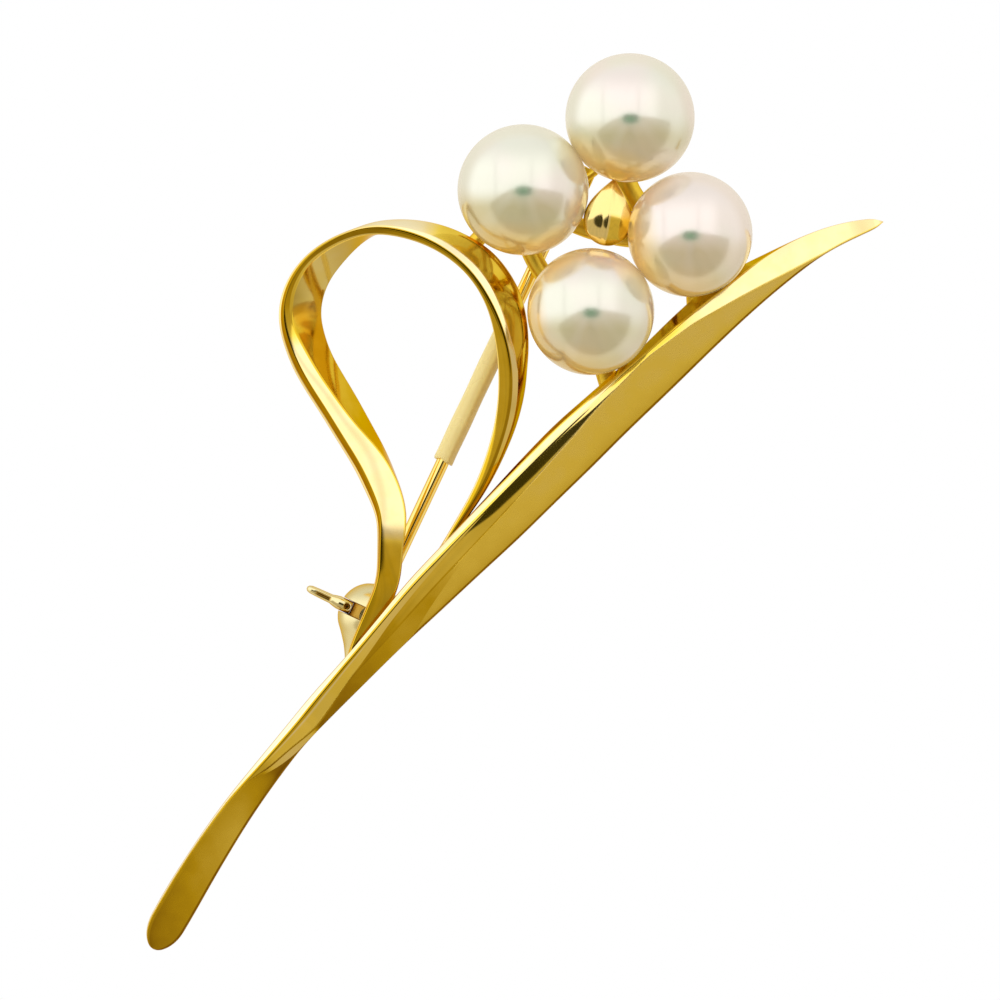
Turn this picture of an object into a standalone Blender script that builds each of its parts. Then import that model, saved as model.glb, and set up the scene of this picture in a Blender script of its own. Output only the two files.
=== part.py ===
"""Flower brooch: twisted leaf blade, ribbon loop, four pearls, hinged pin and turning safety catch.

The brooch is drawn lying flat, x to the right, y up the front and z towards the wearer's onlooker.
One empty stands it upright, so that in the world +Z is up and the front faces -Y. Sizes are metres.
"""
import math

import bmesh
import bpy
import numpy as np
from mathutils import Matrix, Vector

# Fits: a soldered or glued seam, and a joint that turns
SEAM = 0.00003
RUNNING_CLEARANCE = 0.00006

# Flower: four pearls on a leaning rhombus, set against the blade
PEARL_DIAMETER = 0.0073
PEARL_GRADES = {"top": 0.00008, "left": 0.00019, "right": -0.00016, "bottom": -0.00004}
PEARL_GAP = 0.00015
PEARL_OVER_BLADE = 0.00015
FLOWER_LONG_ANGLE = math.radians(78.3)
FLOWER_SHORT_ANGLE = math.radians(-14.3)
FLOWER_SPREAD = math.radians(41.6)
FLOWER_BLADE_SHARE = 0.212
CUP_DIAMETER = 0.0034
CUP_FOOT_DIAMETER = 0.0021
CUP_FLOOR = 0.0003
PEG_DIAMETER = 0.0008
PEG_DEPTH = 0.0034

# Keeled drop in the middle of the flower
DROP_CLEARANCE = 0.0001
DROP_LEAN = math.radians(-8.6)
DROP_SHIFT = 0.00026
DROP_SINK = 0.0010
DROP_FRONT = 0.00125
DROP_BACK = 0.0009
DROP_BELLY = 0.57
DROP_KEEL = 1.5
DROP_POST_DIAMETER = 0.0007
DROP_POST_DEPTH = 0.0006

# Frame of flat wires behind the pearls
FRAME_THICKNESS = 0.0008
FRAME_STEP = 0.00002
FRAME_WIRE = 0.00106
FRAME_CROSS_WIRE = 0.0014
FRAME_PAD_DIAMETER = 0.0025
BOW_LEFT_TOP = 0.00115
BOW_LEFT_BOTTOM = -0.00125
BOW_TOP_RIGHT = 0.0017
BOW_LEFT_RIGHT = 0.00085
ARM_BLADE_SHARES = {"right": 0.207, "bottom": 0.316}
ARM_BLADE_ACROSS = 0.42
ARM_RIBBON_SHARE = 0.67

# Blade: plan places x, y, then shares of width, crease place, heights and foot of the left wall.
# The plan places of blade and ribbon share one unit, which the blade's span across the front sets.
BLADE_SPAN = 0.04153
BLADE_WIDTH = 0.00301
BLADE_DEPTH = 0.0023
BLADE_WALL = 0.00022
BLADE_BULGE = 0.00012
BLADE_EDGE = 0.00009
BLADE_RINGS = 60
BLADE_END_CROWDING = 0.7
BLADE_STATIONS = (
    (23.25, 9.82, 0.05, 0.80, 0.26, 0.28, 0.22, 0.0),
    (22.65, 9.69, 0.20, 0.90, 0.34, 0.34, 0.26, 0.0),
    (21.38, 9.33, 0.34, 0.95, 0.44, 0.48, 0.32, 0.0),
    (19.65, 8.64, 0.47, 0.93, 0.48, 0.62, 0.38, 0.2),
    (17.35, 7.24, 0.62, 0.74, 0.44, 0.80, 0.46, 0.6),
    (12.80, 3.60, 0.83, 0.28, 0.34, 0.97, 0.54, 1.0),
    (10.51, 1.46, 0.88, 0.14, 0.32, 1.00, 0.56, 1.0),
    (5.94, -2.74, 1.00, 0.29, 0.30, 1.00, 0.56, 0.9),
    (1.38, -7.27, 0.96, 0.42, 0.32, 1.00, 0.52, 0.3),
    (-3.14, -11.75, 0.82, 0.49, 0.40, 1.00, 0.46, 0.1),
    (-7.05, -15.96, 0.60, 0.52, 0.52, 0.97, 0.38, 0.1),
    (-8.86, -17.87, 0.55, 0.72, 0.58, 0.94, 0.32, 0.1),
    (-10.31, -19.51, 0.49, 0.84, 0.58, 0.88, 0.32, 0.1),
    (-11.76, -21.32, 0.51, 0.47, 0.50, 0.82, 0.44, 0.1),
    (-13.51, -23.64, 0.58, 0.17, 0.38, 0.74, 0.58, 0.1),
    (-15.53, -26.71, 0.66, 0.08, 0.32, 0.66, 0.58, 0.1),
    (-17.31, -29.71, 0.69, 0.06, 0.28, 0.56, 0.50, 0.1),
    (-17.95, -30.85, 0.56, 0.08, 0.26, 0.48, 0.42, 0.1),
    (-18.28, -31.52, 0.20, 0.20, 0.24, 0.34, 0.30, 0.0),
)

# Ribbon: plan places x, y, lean in degrees, then shares of thickness and depth
RIBBON_THICKNESS = 0.00168
RIBBON_DEPTH = 0.00236
RIBBON_EDGE = 0.00007
RIBBON_RINGS = 84
RIBBON_STATIONS = (
    (-7.45, -16.20, 0.0, 0.16, 0.42),
    (-6.95, -14.75, 0.0, 0.34, 0.48),
    (-5.93, -12.83, 0.0, 0.68, 0.58),
    (-4.99, -10.64, -2.0, 0.88, 0.74),
    (-4.71, -7.21, -3.0, 1.00, 0.95),
    (-5.49, -4.63, 5.0, 1.00, 1.00),
    (-7.35, -1.19, 22.0, 0.75, 1.00),
    (-9.55, 2.82, 34.0, 0.71, 1.00),
    (-9.95, 4.51, 50.0, 0.56, 1.00),
    (-9.33, 6.62, 44.0, 0.45, 1.00),
    (-7.89, 8.15, 26.0, 0.36, 1.00),
    (-6.17, 9.13, 4.0, 0.34, 1.00),
    (-4.06, 9.32, -14.0, 0.30, 1.00),
    (-2.01, 8.77, -28.0, 0.31, 1.00),
    (0.22, 7.25, -47.0, 0.34, 1.00),
    (1.51, 5.36, -47.0, 0.32, 1.00),
    (2.02, 3.37, -39.0, 0.40, 1.00),
    (2.12, 1.37, -24.0, 0.47, 1.00),
    (1.87, -1.04, -15.0, 0.44, 0.95),
    (1.19, -3.22, -11.0, 0.34, 0.82),
    (0.19, -5.38, -9.0, 0.27, 0.66),
    (-1.26, -7.71, -5.0, 0.26, 0.50),
    (-2.05, -8.95, 0.0, 0.20, 0.44),
)

# Pin with its eye, rivet, bracket and plastic sleeve
PIN_DIAMETER = 0.00075
PIN_POINT_LENGTH = 0.0030
PIN_POINT_DIAMETER = 0.00016
PIN_PAST_CATCH = 0.0014
EYE_DIAMETER = 0.0015
EYE_WIDTH = 0.0012
RIVET_DIAMETER = 0.0006
RIVET_HEAD_DIAMETER = 0.0010
RIVET_HEAD_THICKNESS = 0.00016
EAR_THICKNESS = 0.0005
EAR_DIAMETER = 0.0017
BRACKET_FLOOR = 0.00042
HINGE_WIRE_SHARE = 0.41
SLEEVE_DIAMETER = 0.00118
SLEEVE_LENGTH = 0.0086
SLEEVE_FROM_HINGE = 0.0094

# Turning safety catch round the pin's point
CATCH_DIAMETER = 0.0040
CATCH_TAIL_LENGTH = 0.00285
CATCH_TAIL_DIAMETER = 0.00084
CATCH_TAIL_START = 0.00035
CATCH_TAIL_HOLLOW = 1.25
CATCH_SLOT = 0.0010
CATCH_BORE_SPARE = 0.00033
CATCH_BLADE_SHARE = 0.624
CATCH_BLADE_ACROSS = -0.18
CATCH_BASE_DIAMETER = 0.0012
CATCH_TURN = math.radians(100.0)
ROTOR_DIAMETER = 0.0022
ROTOR_LENGTH = 0.0019
LEVER_REACH = 0.00397
LEVER_ROOT = 0.00078
LEVER_TIP = 0.00046
LEVER_DEPTH = 0.0010

# Unit of the plan places, and levels in front of the pin's axis
PLAN_UNIT = BLADE_SPAN / (BLADE_STATIONS[0][0] - BLADE_STATIONS[-1][0])
EYE_TO_BRACKET = 0.0002
CATCH_TO_BLADE = 0.0002
FRAME_BACK = EYE_DIAMETER / 2 + EYE_TO_BRACKET + BRACKET_FLOOR + SEAM
FRAME_FRONT = FRAME_BACK + FRAME_THICKNESS
BACK_PLANE = max(FRAME_FRONT, CATCH_DIAMETER / 2 + CATCH_TO_BLADE) + SEAM
CUP_LEVEL = FRAME_FRONT + SEAM
PEARL_BOTTOM = CUP_LEVEL + CUP_FLOOR + SEAM
FRONT = Vector((0.0, 0.0, 1.0))

PARTS = bpy.data.collections.new("pearl_flower_brooch")
CUTTERS = bpy.data.collections.new("pearl_flower_brooch_cutters")


def clear_scene():
    for item in list(bpy.data.objects):
        bpy.data.objects.remove(item, do_unlink=True)
    for collection in (PARTS, CUTTERS):
        bpy.context.scene.collection.children.link(collection)


def make_material(name, colour, roughness, metallic):
    material = bpy.data.materials.new(name)
    material.use_nodes = True
    shader = material.node_tree.nodes["Principled BSDF"]
    shader.inputs["Base Color"].default_value = (*colour, 1.0)
    shader.inputs["Roughness"].default_value = roughness
    shader.inputs["Metallic"].default_value = metallic
    return material


# Smooth curves through a few stations

def smooth_rows(rows, count, crowding=0.0):
    """Rows of a smooth curve through the given rows, evenly set or crowded towards both ends."""
    rows = np.array(rows, dtype=float)
    steps = np.linalg.norm(np.diff(rows[:, :2], axis=0), axis=1)
    knots = np.concatenate(([0.0], np.cumsum(steps)))
    slopes = np.diff(rows, axis=0) / steps[:, None]
    tangents = np.empty_like(rows)
    tangents[0] = slopes[0]
    tangents[-1] = slopes[-1]
    weights = steps[:-1, None] + steps[1:, None]
    tangents[1:-1] = (slopes[:-1] * steps[1:, None] + slopes[1:] * steps[:-1, None]) / weights
    even = np.linspace(0.0, 1.0, count)
    places = knots[-1] * (even - crowding * np.sin(2 * math.pi * even) / (2 * math.pi))
    spans = np.clip(np.searchsorted(knots, places, side="right") - 1, 0, len(steps) - 1)
    width = steps[spans][:, None]
    t = ((places - knots[spans]) / steps[spans])[:, None]
    start = rows[spans] * (2 * t**3 - 3 * t**2 + 1) + tangents[spans] * width * (t**3 - 2 * t**2 + t)
    end = rows[spans + 1] * (3 * t**2 - 2 * t**3) + tangents[spans + 1] * width * (t**3 - t**2)
    return start + end


def plan_normals(points):
    """Unit vectors to the left of a plan curve, one for each of its points."""
    tangents = np.gradient(points, axis=0)
    tangents /= np.linalg.norm(tangents, axis=1)[:, None]
    return np.column_stack((-tangents[:, 1], tangents[:, 0]))


def soften(corners, radius):
    """Each corner of a ring of sections becomes two points, set back by the radius along both sides."""
    softened = []
    for index in range(corners.shape[1]):
        here = corners[:, index]
        for neighbour in (index - 1, (index + 1) % corners.shape[1]):
            side = corners[:, neighbour] - here
            length = np.linalg.norm(side, axis=1)[:, None]
            softened.append(here + side / length * np.minimum(radius, 0.3 * length))
    return np.stack(softened, axis=1)


def blade_sections(allowance):
    """Corner points of the blade's cross sections, grown by an allowance for a solder seam."""
    rows = smooth_rows(BLADE_STATIONS, BLADE_RINGS, BLADE_END_CROWDING)
    centres = rows[:, :2] * PLAN_UNIT
    leftwards = -plan_normals(centres)
    half = rows[:, 2] * BLADE_WIDTH / 2 + allowance
    crease = (2 * rows[:, 3] - 1) * half
    left_high = rows[:, 4] * BLADE_DEPTH + allowance
    crease_high = rows[:, 5] * BLADE_DEPTH + allowance
    right_high = rows[:, 6] * BLADE_DEPTH + allowance
    foot = half + np.minimum(rows[:, 7] * BLADE_WALL, half)
    bulge_across = (crease - half) / 2 - BLADE_BULGE * rows[:, 2]
    bulge_high = (left_high + crease_high) / 2 + BLADE_BULGE * rows[:, 2]
    floor = np.full(len(rows), -allowance)
    profile = ((-foot, floor), (-half, left_high), (bulge_across, bulge_high), (crease, crease_high),
               (half, right_high), (half, floor))
    corners = []
    for across, high in profile:
        plan = centres - leftwards * across[:, None]
        corners.append(np.column_stack((plan, BACK_PLANE + high)))
    return np.stack(corners, axis=1)


def ribbon_sections():
    """Corner points of the ribbon's cross sections, leaning as the band twists."""
    rows = smooth_rows(RIBBON_STATIONS, RIBBON_RINGS)
    centres = rows[:, :2] * PLAN_UNIT
    outwards = plan_normals(centres)
    lean = np.radians(rows[:, 2])
    thick = rows[:, 3] * RIBBON_THICKNESS / 2
    deep = rows[:, 4] * RIBBON_DEPTH / 2
    middle = deep * np.cos(lean) + thick * np.abs(np.sin(lean))
    corners = []
    for forward, out in ((1, 1), (1, -1), (-1, -1), (-1, 1)):
        across = forward * deep * np.sin(lean) + out * thick * np.cos(lean)
        high = forward * deep * np.cos(lean) - out * thick * np.sin(lean)
        plan = centres + outwards * across[:, None]
        corners.append(np.column_stack((plan, BACK_PLANE + middle + high)))
    return np.stack(corners, axis=1)


def blade_point(share, across):
    """Plan point on the blade: a share of its length, and of its width from the left edge."""
    rows = smooth_rows(BLADE_STATIONS, 401)
    centres = rows[:, :2] * PLAN_UNIT
    index = round(share * 400)
    rightwards = plan_normals(centres)[index]
    offset = (across - 0.5) * rows[index, 2] * BLADE_WIDTH
    return Vector((*(centres[index] + rightwards * offset), 0.0))


def blade_leftwards(share):
    return (blade_point(share, 0.0) - blade_point(share, 1.0)).normalized()


def ribbon_back_point(share):
    """Plan point on the middle of the ribbon's back edge, at a share of its length."""
    sections = ribbon_sections()
    index = round(share * (RIBBON_RINGS - 1))
    middle = (sections[index, 2] + sections[index, 3]) / 2
    return Vector((middle[0], middle[1], 0.0))


# Layout of the flower, the hinge and the catch

def pearl_radius(name):
    return (PEARL_DIAMETER + PEARL_GRADES[name]) / 2


def flower_layout():
    """Plan centres of the pearls and of the flower, with the rhombus's half diagonals."""
    angle_between = FLOWER_LONG_ANGLE - FLOWER_SHORT_ANGLE
    squeeze = 1 - math.sin(2 * FLOWER_SPREAD) * abs(math.cos(angle_between))
    size = (PEARL_DIAMETER + PEARL_GAP) / math.sqrt(squeeze)
    half_long = size * math.cos(FLOWER_SPREAD)
    half_short = size * math.sin(FLOWER_SPREAD)
    long_way = Vector((math.cos(FLOWER_LONG_ANGLE), math.sin(FLOWER_LONG_ANGLE), 0.0))
    short_way = Vector((math.cos(FLOWER_SHORT_ANGLE), math.sin(FLOWER_SHORT_ANGLE), 0.0))
    offsets = {"top": long_way * half_long, "bottom": -long_way * half_long,
               "left": -short_way * half_short, "right": short_way * half_short}
    standoff = (pearl_radius("bottom") + pearl_radius("right")) / 2 - PEARL_OVER_BLADE
    edge = blade_point(FLOWER_BLADE_SHARE, 0.0)
    side_middle = edge + blade_leftwards(FLOWER_BLADE_SHARE) * standoff
    centre = side_middle - (offsets["bottom"] + offsets["right"]) / 2
    pearls = {name: centre + offset for name, offset in offsets.items()}
    return pearls, centre, half_long, half_short


def bowed_line(start, end, bow, count):
    """Points of a bowed line between two plan points. A positive bow goes to the right of travel."""
    chord = end - start
    sideways = Vector((chord.y, -chord.x, 0.0)).normalized()
    points = []
    for index in range(count + 1):
        share = index / count
        points.append(start + chord * share + sideways * bow * 4 * share * (1 - share))
    return points


PEARLS, FLOWER_CENTRE, HALF_LONG, HALF_SHORT = flower_layout()
HINGE_WIRE = bowed_line(PEARLS["left"], PEARLS["top"], BOW_LEFT_TOP, 100)
HINGE = HINGE_WIRE[round(HINGE_WIRE_SHARE * 100)]
CATCH = blade_point(CATCH_BLADE_SHARE, CATCH_BLADE_ACROSS)
PIN_WAY = (HINGE - CATCH).normalized()
PIN_SPAN = (HINGE - CATCH).length
SIDE_WAY = FRONT.cross(PIN_WAY)


def frame_matrix(origin, x_way, y_way, z_way):
    turn = Matrix((x_way, y_way, z_way)).transposed().to_4x4()
    return Matrix.Translation(origin) @ turn


HINGE_FRAME = frame_matrix(HINGE, -PIN_WAY, FRONT, SIDE_WAY)
CATCH_FRAME = frame_matrix(CATCH, SIDE_WAY, FRONT, PIN_WAY)
Z_ALONG_X = Matrix.Rotation(math.pi / 2, 4, "Y")


# Making and cutting solids

def add_object(name, mesh, matrix, parent, material):
    piece = bpy.data.objects.new(name, mesh)
    PARTS.objects.link(piece)
    piece.parent = parent
    piece.matrix_local = matrix
    mesh.materials.append(material)
    return piece


def add_cutter(name, mesh, matrix, parent):
    cutter = bpy.data.objects.new(name, mesh)
    CUTTERS.objects.link(cutter)
    cutter.parent = parent
    cutter.matrix_local = matrix
    cutter.hide_render = True
    cutter.display_type = "WIRE"
    return cutter


def combine(piece, cutter, operation):
    boolean = piece.modifiers.new(f"{operation.title()} {cutter.name}", "BOOLEAN")
    boolean.operation = operation
    boolean.solver = "EXACT"
    boolean.object = cutter


def shade(piece, angle):
    piece.data.shade_smooth()
    piece.data.set_sharp_from_angle(angle=math.radians(angle))


def profile_mesh(name, profile, closed):
    mesh = bpy.data.meshes.new(name)
    points = [(radius, 0.0, high) for radius, high in profile]
    edges = [(index, index + 1) for index in range(len(points) - 1)]
    if closed:
        edges.append((len(points) - 1, 0))
    mesh.from_pydata(points, edges, [])
    return mesh


def turn_profile(piece, steps):
    screw = piece.modifiers.new("Turned", "SCREW")
    screw.axis = "Z"
    screw.angle = 2 * math.pi
    screw.steps = steps
    screw.render_steps = steps
    screw.use_merge_vertices = True
    screw.merge_threshold = 1e-7
    screw.use_smooth_shade = True


def turned(name, profile, steps, matrix, parent, material, closed=False):
    piece = add_object(name, profile_mesh(name, profile, closed), matrix, parent, material)
    turn_profile(piece, steps)
    return piece


def turned_cutter(name, profile, steps, matrix, parent):
    cutter = add_cutter(name, profile_mesh(name, profile, False), matrix, parent)
    turn_profile(cutter, steps)
    return cutter


def cylinder_cutter(name, radius, low, high, matrix, parent, steps=24):
    profile = ((0.0, high), (radius, high), (radius, low), (0.0, low))
    return turned_cutter(name, profile, steps, matrix, parent)


def box_mesh(name, low, high):
    """A box between two corners."""
    mesh = bpy.data.meshes.new(name)
    shape = bmesh.new()
    bmesh.ops.create_cube(shape, size=1.0)
    low = Vector(low)
    high = Vector(high)
    for corner in shape.verts:
        share = corner.co + Vector((0.5, 0.5, 0.5))
        corner.co = Vector(low[axis] + (high[axis] - low[axis]) * share[axis] for axis in range(3))
    shape.to_mesh(mesh)
    shape.free()
    return mesh


def loft_mesh(name, sections):
    """A closed skin through rings of points, with flat ends."""
    rings, count = sections.shape[:2]
    faces = []
    for ring in range(rings - 1):
        for side in range(count):
            after = (side + 1) % count
            faces.append((ring * count + side, ring * count + after,
                          (ring + 1) * count + after, (ring + 1) * count + side))
    faces.append(tuple(range(count)))
    faces.append(tuple((rings - 1) * count + side for side in range(count)))
    mesh = bpy.data.meshes.new(name)
    mesh.from_pydata(sections.reshape(-1, 3).tolist(), [], faces)
    shape = bmesh.new()
    shape.from_mesh(mesh)
    bmesh.ops.recalc_face_normals(shape, faces=shape.faces)
    shape.to_mesh(mesh)
    shape.free()
    return mesh


def outline_mesh(name, points, thickness):
    """A flat outline made solid, half its thickness to each side of its plane."""
    curve = bpy.data.curves.new(name, "CURVE")
    curve.dimensions = "2D"
    curve.fill_mode = "BOTH"
    curve.extrude = thickness / 2
    spline = curve.splines.new("POLY")
    spline.points.add(len(points) - 1)
    for point, place in zip(spline.points, points):
        point.co = (place[0], place[1], 0.0, 1.0)
    spline.use_cyclic_u = True
    holder = bpy.data.objects.new(name, curve)
    bpy.context.scene.collection.objects.link(holder)
    bpy.context.view_layer.update()
    graph = bpy.context.evaluated_depsgraph_get()
    mesh = bpy.data.meshes.new_from_object(holder.evaluated_get(graph))
    bpy.data.objects.remove(holder, do_unlink=True)
    shape = bmesh.new()
    shape.from_mesh(mesh)
    bmesh.ops.remove_doubles(shape, verts=shape.verts, dist=1e-7)
    bmesh.ops.recalc_face_normals(shape, faces=shape.faces)
    shape.to_mesh(mesh)
    shape.free()
    return mesh


def strip_outline(line, width):
    """Outline of a flat wire along plan points."""
    points = np.array([(point.x, point.y) for point in line])
    sideways = plan_normals(points) * width / 2
    return [*(points + sideways), *(points - sideways)[::-1]]


# Blade and ribbon

def build_blade(parent, gold):
    skin = loft_mesh("leaf_blade", soften(blade_sections(0.0), BLADE_EDGE))
    blade = add_object("leaf_blade", skin, Matrix.Identity(4), parent, gold)
    shade(blade, 25)


def build_ribbon(parent, gold):
    skin = loft_mesh("ribbon_loop", soften(ribbon_sections(), RIBBON_EDGE))
    ribbon = add_object("ribbon_loop", skin, Matrix.Identity(4), parent, gold)
    shade(ribbon, 25)
    seat = loft_mesh("ribbon_seat_on_blade", blade_sections(SEAM))
    combine(ribbon, add_cutter("ribbon_seat_on_blade", seat, Matrix.Identity(4), parent), "DIFFERENCE")


# Pearls with their cups and pegs

def arc_profile(radius, start, end, count, middle):
    """Points of an arc about a height on the axis, between two angles up from the equator."""
    points = []
    for index in range(count + 1):
        angle = start + (end - start) * index / count
        points.append((radius * math.cos(angle), middle + radius * math.sin(angle)))
    return points


def build_pearl(name, parent, pearl, gold):
    radius = pearl_radius(name)
    centre = PEARL_BOTTOM + radius
    place = Matrix.Translation(PEARLS[name])
    hole = PEG_DIAMETER / 2 + SEAM
    top_of_peg = PEARL_BOTTOM + PEG_DEPTH
    rim = -math.acos(hole / radius)
    skin = arc_profile(radius, math.pi / 2, rim, 16, centre)
    skin[0] = (0.0, centre + radius)
    drilled = (*skin, (hole, top_of_peg + SEAM), (0.0, top_of_peg + SEAM))
    turned(f"pearl_{name}", drilled, 32, place, parent, pearl)

    dish = radius + SEAM
    cup_half = CUP_DIAMETER / 2
    lip = centre - math.sqrt(dish**2 - cup_half**2)
    foot = CUP_FOOT_DIAMETER / 2
    rim_angle = -math.acos(cup_half / dish)
    hole_angle = -math.acos(hole / dish)
    bowl = arc_profile(dish, hole_angle, rim_angle, 4, centre)
    outer = ((cup_half + CUP_FLOOR / 2, lip), (cup_half, lip - CUP_FLOOR / 2),
             (foot, CUP_LEVEL + CUP_FLOOR / 3), (foot, CUP_LEVEL), (hole, CUP_LEVEL))
    turned(f"cup_{name}", (*outer, *bowl), 20, place, parent, gold, closed=True)

    half = PEG_DIAMETER / 2
    peg = ((0.0, top_of_peg), (half * 0.6, top_of_peg), (half, top_of_peg - half * 0.6), (half, FRAME_BACK),
           (0.0, FRAME_BACK))
    turned(f"peg_{name}", peg, 16, place, parent, gold)


def build_frame(parent, gold):
    """Pads under the pearls, joined by bowed wires, with arms to the blade and the ribbon."""
    middle = Matrix.Translation(FRONT * (FRAME_BACK + FRAME_THICKNESS / 2))
    wires = {
        "left_bottom": (bowed_line(PEARLS["left"], PEARLS["bottom"], -BOW_LEFT_BOTTOM, 12), FRAME_WIRE),
        "left_top": (bowed_line(PEARLS["left"], PEARLS["top"], BOW_LEFT_TOP, 12), FRAME_WIRE),
        "top_right": (bowed_line(PEARLS["top"], PEARLS["right"], BOW_TOP_RIGHT, 12), FRAME_WIRE),
        "arm_left": ((PEARLS["left"], ribbon_back_point(ARM_RIBBON_SHARE)), FRAME_WIRE),
    }
    for name, share in ARM_BLADE_SHARES.items():
        wires[f"arm_{name}"] = ((PEARLS[name], blade_point(share, ARM_BLADE_ACROSS)), FRAME_WIRE)
    cross = bowed_line(PEARLS["left"], PEARLS["right"], BOW_LEFT_RIGHT, 16)
    thickness = FRAME_THICKNESS - FRAME_STEP
    mesh = outline_mesh("flower_frame", strip_outline(cross, FRAME_CROSS_WIRE), thickness)
    frame = add_object("flower_frame", mesh, middle, parent, gold)
    for name, (line, width) in wires.items():
        thickness -= FRAME_STEP
        wire = outline_mesh(f"frame_wire_{name}", strip_outline(line, width), thickness)
        combine(frame, add_cutter(f"frame_wire_{name}", wire, middle, parent), "UNION")
    for name, centre in PEARLS.items():
        place = Matrix.Translation(centre)
        radius = FRAME_PAD_DIAMETER / 2
        pad = cylinder_cutter(f"frame_pad_{name}", radius, FRAME_BACK, FRAME_FRONT, place, parent)
        combine(frame, pad, "UNION")
    for name, centre in PEARLS.items():
        place = Matrix.Translation(centre)
        radius = PEG_DIAMETER / 2 + SEAM
        hole = cylinder_cutter(f"frame_hole_{name}", radius, 0.0, PEARL_BOTTOM, place, parent, 16)
        combine(frame, hole, "DIFFERENCE")
    shade(frame, 30)


# Keeled drop and its post

def drop_sections(length, width, rings=13, sides=20):
    """Sections along the drop, from its point to its round end, with a keel along the front."""
    keel = 2 / DROP_KEEL
    sections = []
    for ring in range(rings):
        share = 0.015 + 0.975 * (1 - math.cos(math.pi * ring / (rings - 1))) / 2
        if share < DROP_BELLY:
            swell = math.sin(math.pi / 2 * share / DROP_BELLY)
        else:
            swell = math.sqrt(1 - ((share - DROP_BELLY) / (1 - DROP_BELLY)) ** 2)
        section = []
        for side in range(sides):
            angle = 2 * math.pi * side / sides
            across = math.copysign(abs(math.cos(angle)) ** keel, math.cos(angle))
            front = abs(math.sin(angle)) ** keel * DROP_FRONT
            if math.sin(angle) < 0:
                across = math.cos(angle)
                front = math.sin(angle) * DROP_BACK
            section.append((across * swell * width / 2, (0.5 - share) * length, front * swell))
        sections.append(section)
    return np.array(sections)


def build_drop(parent, gold):
    length = 2 * (HALF_LONG - PEARL_DIAMETER / 2 - DROP_CLEARANCE)
    width = 2 * (HALF_SHORT - PEARL_DIAMETER / 2 - DROP_CLEARANCE)
    centre = FLOWER_CENTRE + Vector((DROP_SHIFT, 0.0, 0.0))
    high = PEARL_BOTTOM + PEARL_DIAMETER / 2 - DROP_SINK
    place = Matrix.Translation(centre + FRONT * high) @ Matrix.Rotation(DROP_LEAN, 4, "Z")
    drop = add_object("drop_bead", loft_mesh("drop_bead", drop_sections(length, width)), place, parent, gold)
    shade(drop, 40)

    cross = bowed_line(PEARLS["left"], PEARLS["right"], BOW_LEFT_RIGHT, 2)
    post_place = Matrix.Translation(cross[1])
    half = DROP_POST_DIAMETER / 2
    top = high - DROP_BACK + DROP_POST_DEPTH
    hole = cylinder_cutter("drop_hole", half + SEAM, FRAME_FRONT, top + SEAM, post_place, parent, 16)
    combine(drop, hole, "DIFFERENCE")
    post = ((0.0, top), (half, top), (half, CUP_LEVEL), (0.0, CUP_LEVEL))
    turned("drop_post", post, 16, post_place, parent, gold)


# Pin and its hinge

def build_hinge(parent, gold):
    """A bracket with two ears, soldered to the wire between the left and top pearls, and its rivet."""
    ear = EAR_DIAMETER / 2
    seat = FRAME_BACK - SEAM
    inner = EYE_WIDTH / 2 + RUNNING_CLEARANCE
    outer = inner + EAR_THICKNESS
    arc = [(ear * math.cos(angle), ear * math.sin(angle)) for angle in np.linspace(math.pi, 2 * math.pi, 13)]
    outline = [(-ear, seat), *arc, (ear, seat)]
    block = outline_mesh("hinge_bracket", outline, 2 * outer)
    bracket = add_object("hinge_bracket", block, HINGE_FRAME, parent, gold)
    slot = box_mesh("bracket_slot", (-2 * ear, -2 * ear, -inner), (2 * ear, seat - BRACKET_FLOOR, inner))
    combine(bracket, add_cutter("bracket_slot", slot, HINGE_FRAME, parent), "DIFFERENCE")
    bore = RIVET_DIAMETER / 2 + SEAM
    hole = cylinder_cutter("bracket_hole", bore, -2 * outer, 2 * outer, HINGE_FRAME, parent, 20)
    combine(bracket, hole, "DIFFERENCE")
    shade(bracket, 30)

    shaft = RIVET_DIAMETER / 2
    head = RIVET_HEAD_DIAMETER / 2
    near = outer + SEAM
    far = near + RIVET_HEAD_THICKNESS
    upper = ((0.0, far), (head * 0.7, far), (head, near), (shaft, near))
    lower = tuple((radius, -high) for radius, high in reversed(upper))
    turned("hinge_rivet", (*upper, *lower), 20, HINGE_FRAME, parent, gold)


def build_pin(parent, gold, plastic):
    """The stem runs from its eye on the rivet to its point in the catch, with the sleeve round it."""
    eye = EYE_DIAMETER / 2
    bore = RIVET_DIAMETER / 2 + RUNNING_CLEARANCE
    half = EYE_WIDTH / 2
    ring = ((eye, half), (eye, -half), (bore, -half), (bore, half))
    pin = turned("pin_stem", ring, 28, HINGE_FRAME, parent, gold, closed=True)
    wire = PIN_DIAMETER / 2
    end = PIN_SPAN + PIN_PAST_CATCH
    point = PIN_POINT_DIAMETER / 2
    taper = []
    for index in range(5):
        share = index / 4
        taper.append((point + (wire - point) * math.sin(math.pi / 2 * share), end - PIN_POINT_LENGTH * share))
    stem = ((0.0, end + point / 2), *taper, (wire, (bore + eye) / 2), (0.0, (bore + eye) / 2))
    combine(pin, turned_cutter("pin_wire", stem, 16, HINGE_FRAME @ Z_ALONG_X, parent), "UNION")

    inner = wire + SEAM
    outer = SLEEVE_DIAMETER / 2
    far = SLEEVE_FROM_HINGE + SLEEVE_LENGTH
    tube = ((outer, far), (outer, SLEEVE_FROM_HINGE), (inner, SLEEVE_FROM_HINGE), (inner, far))
    turned("pin_sleeve", tube, 24, Z_ALONG_X, pin, plastic, closed=True)


# Turning safety catch

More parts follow.
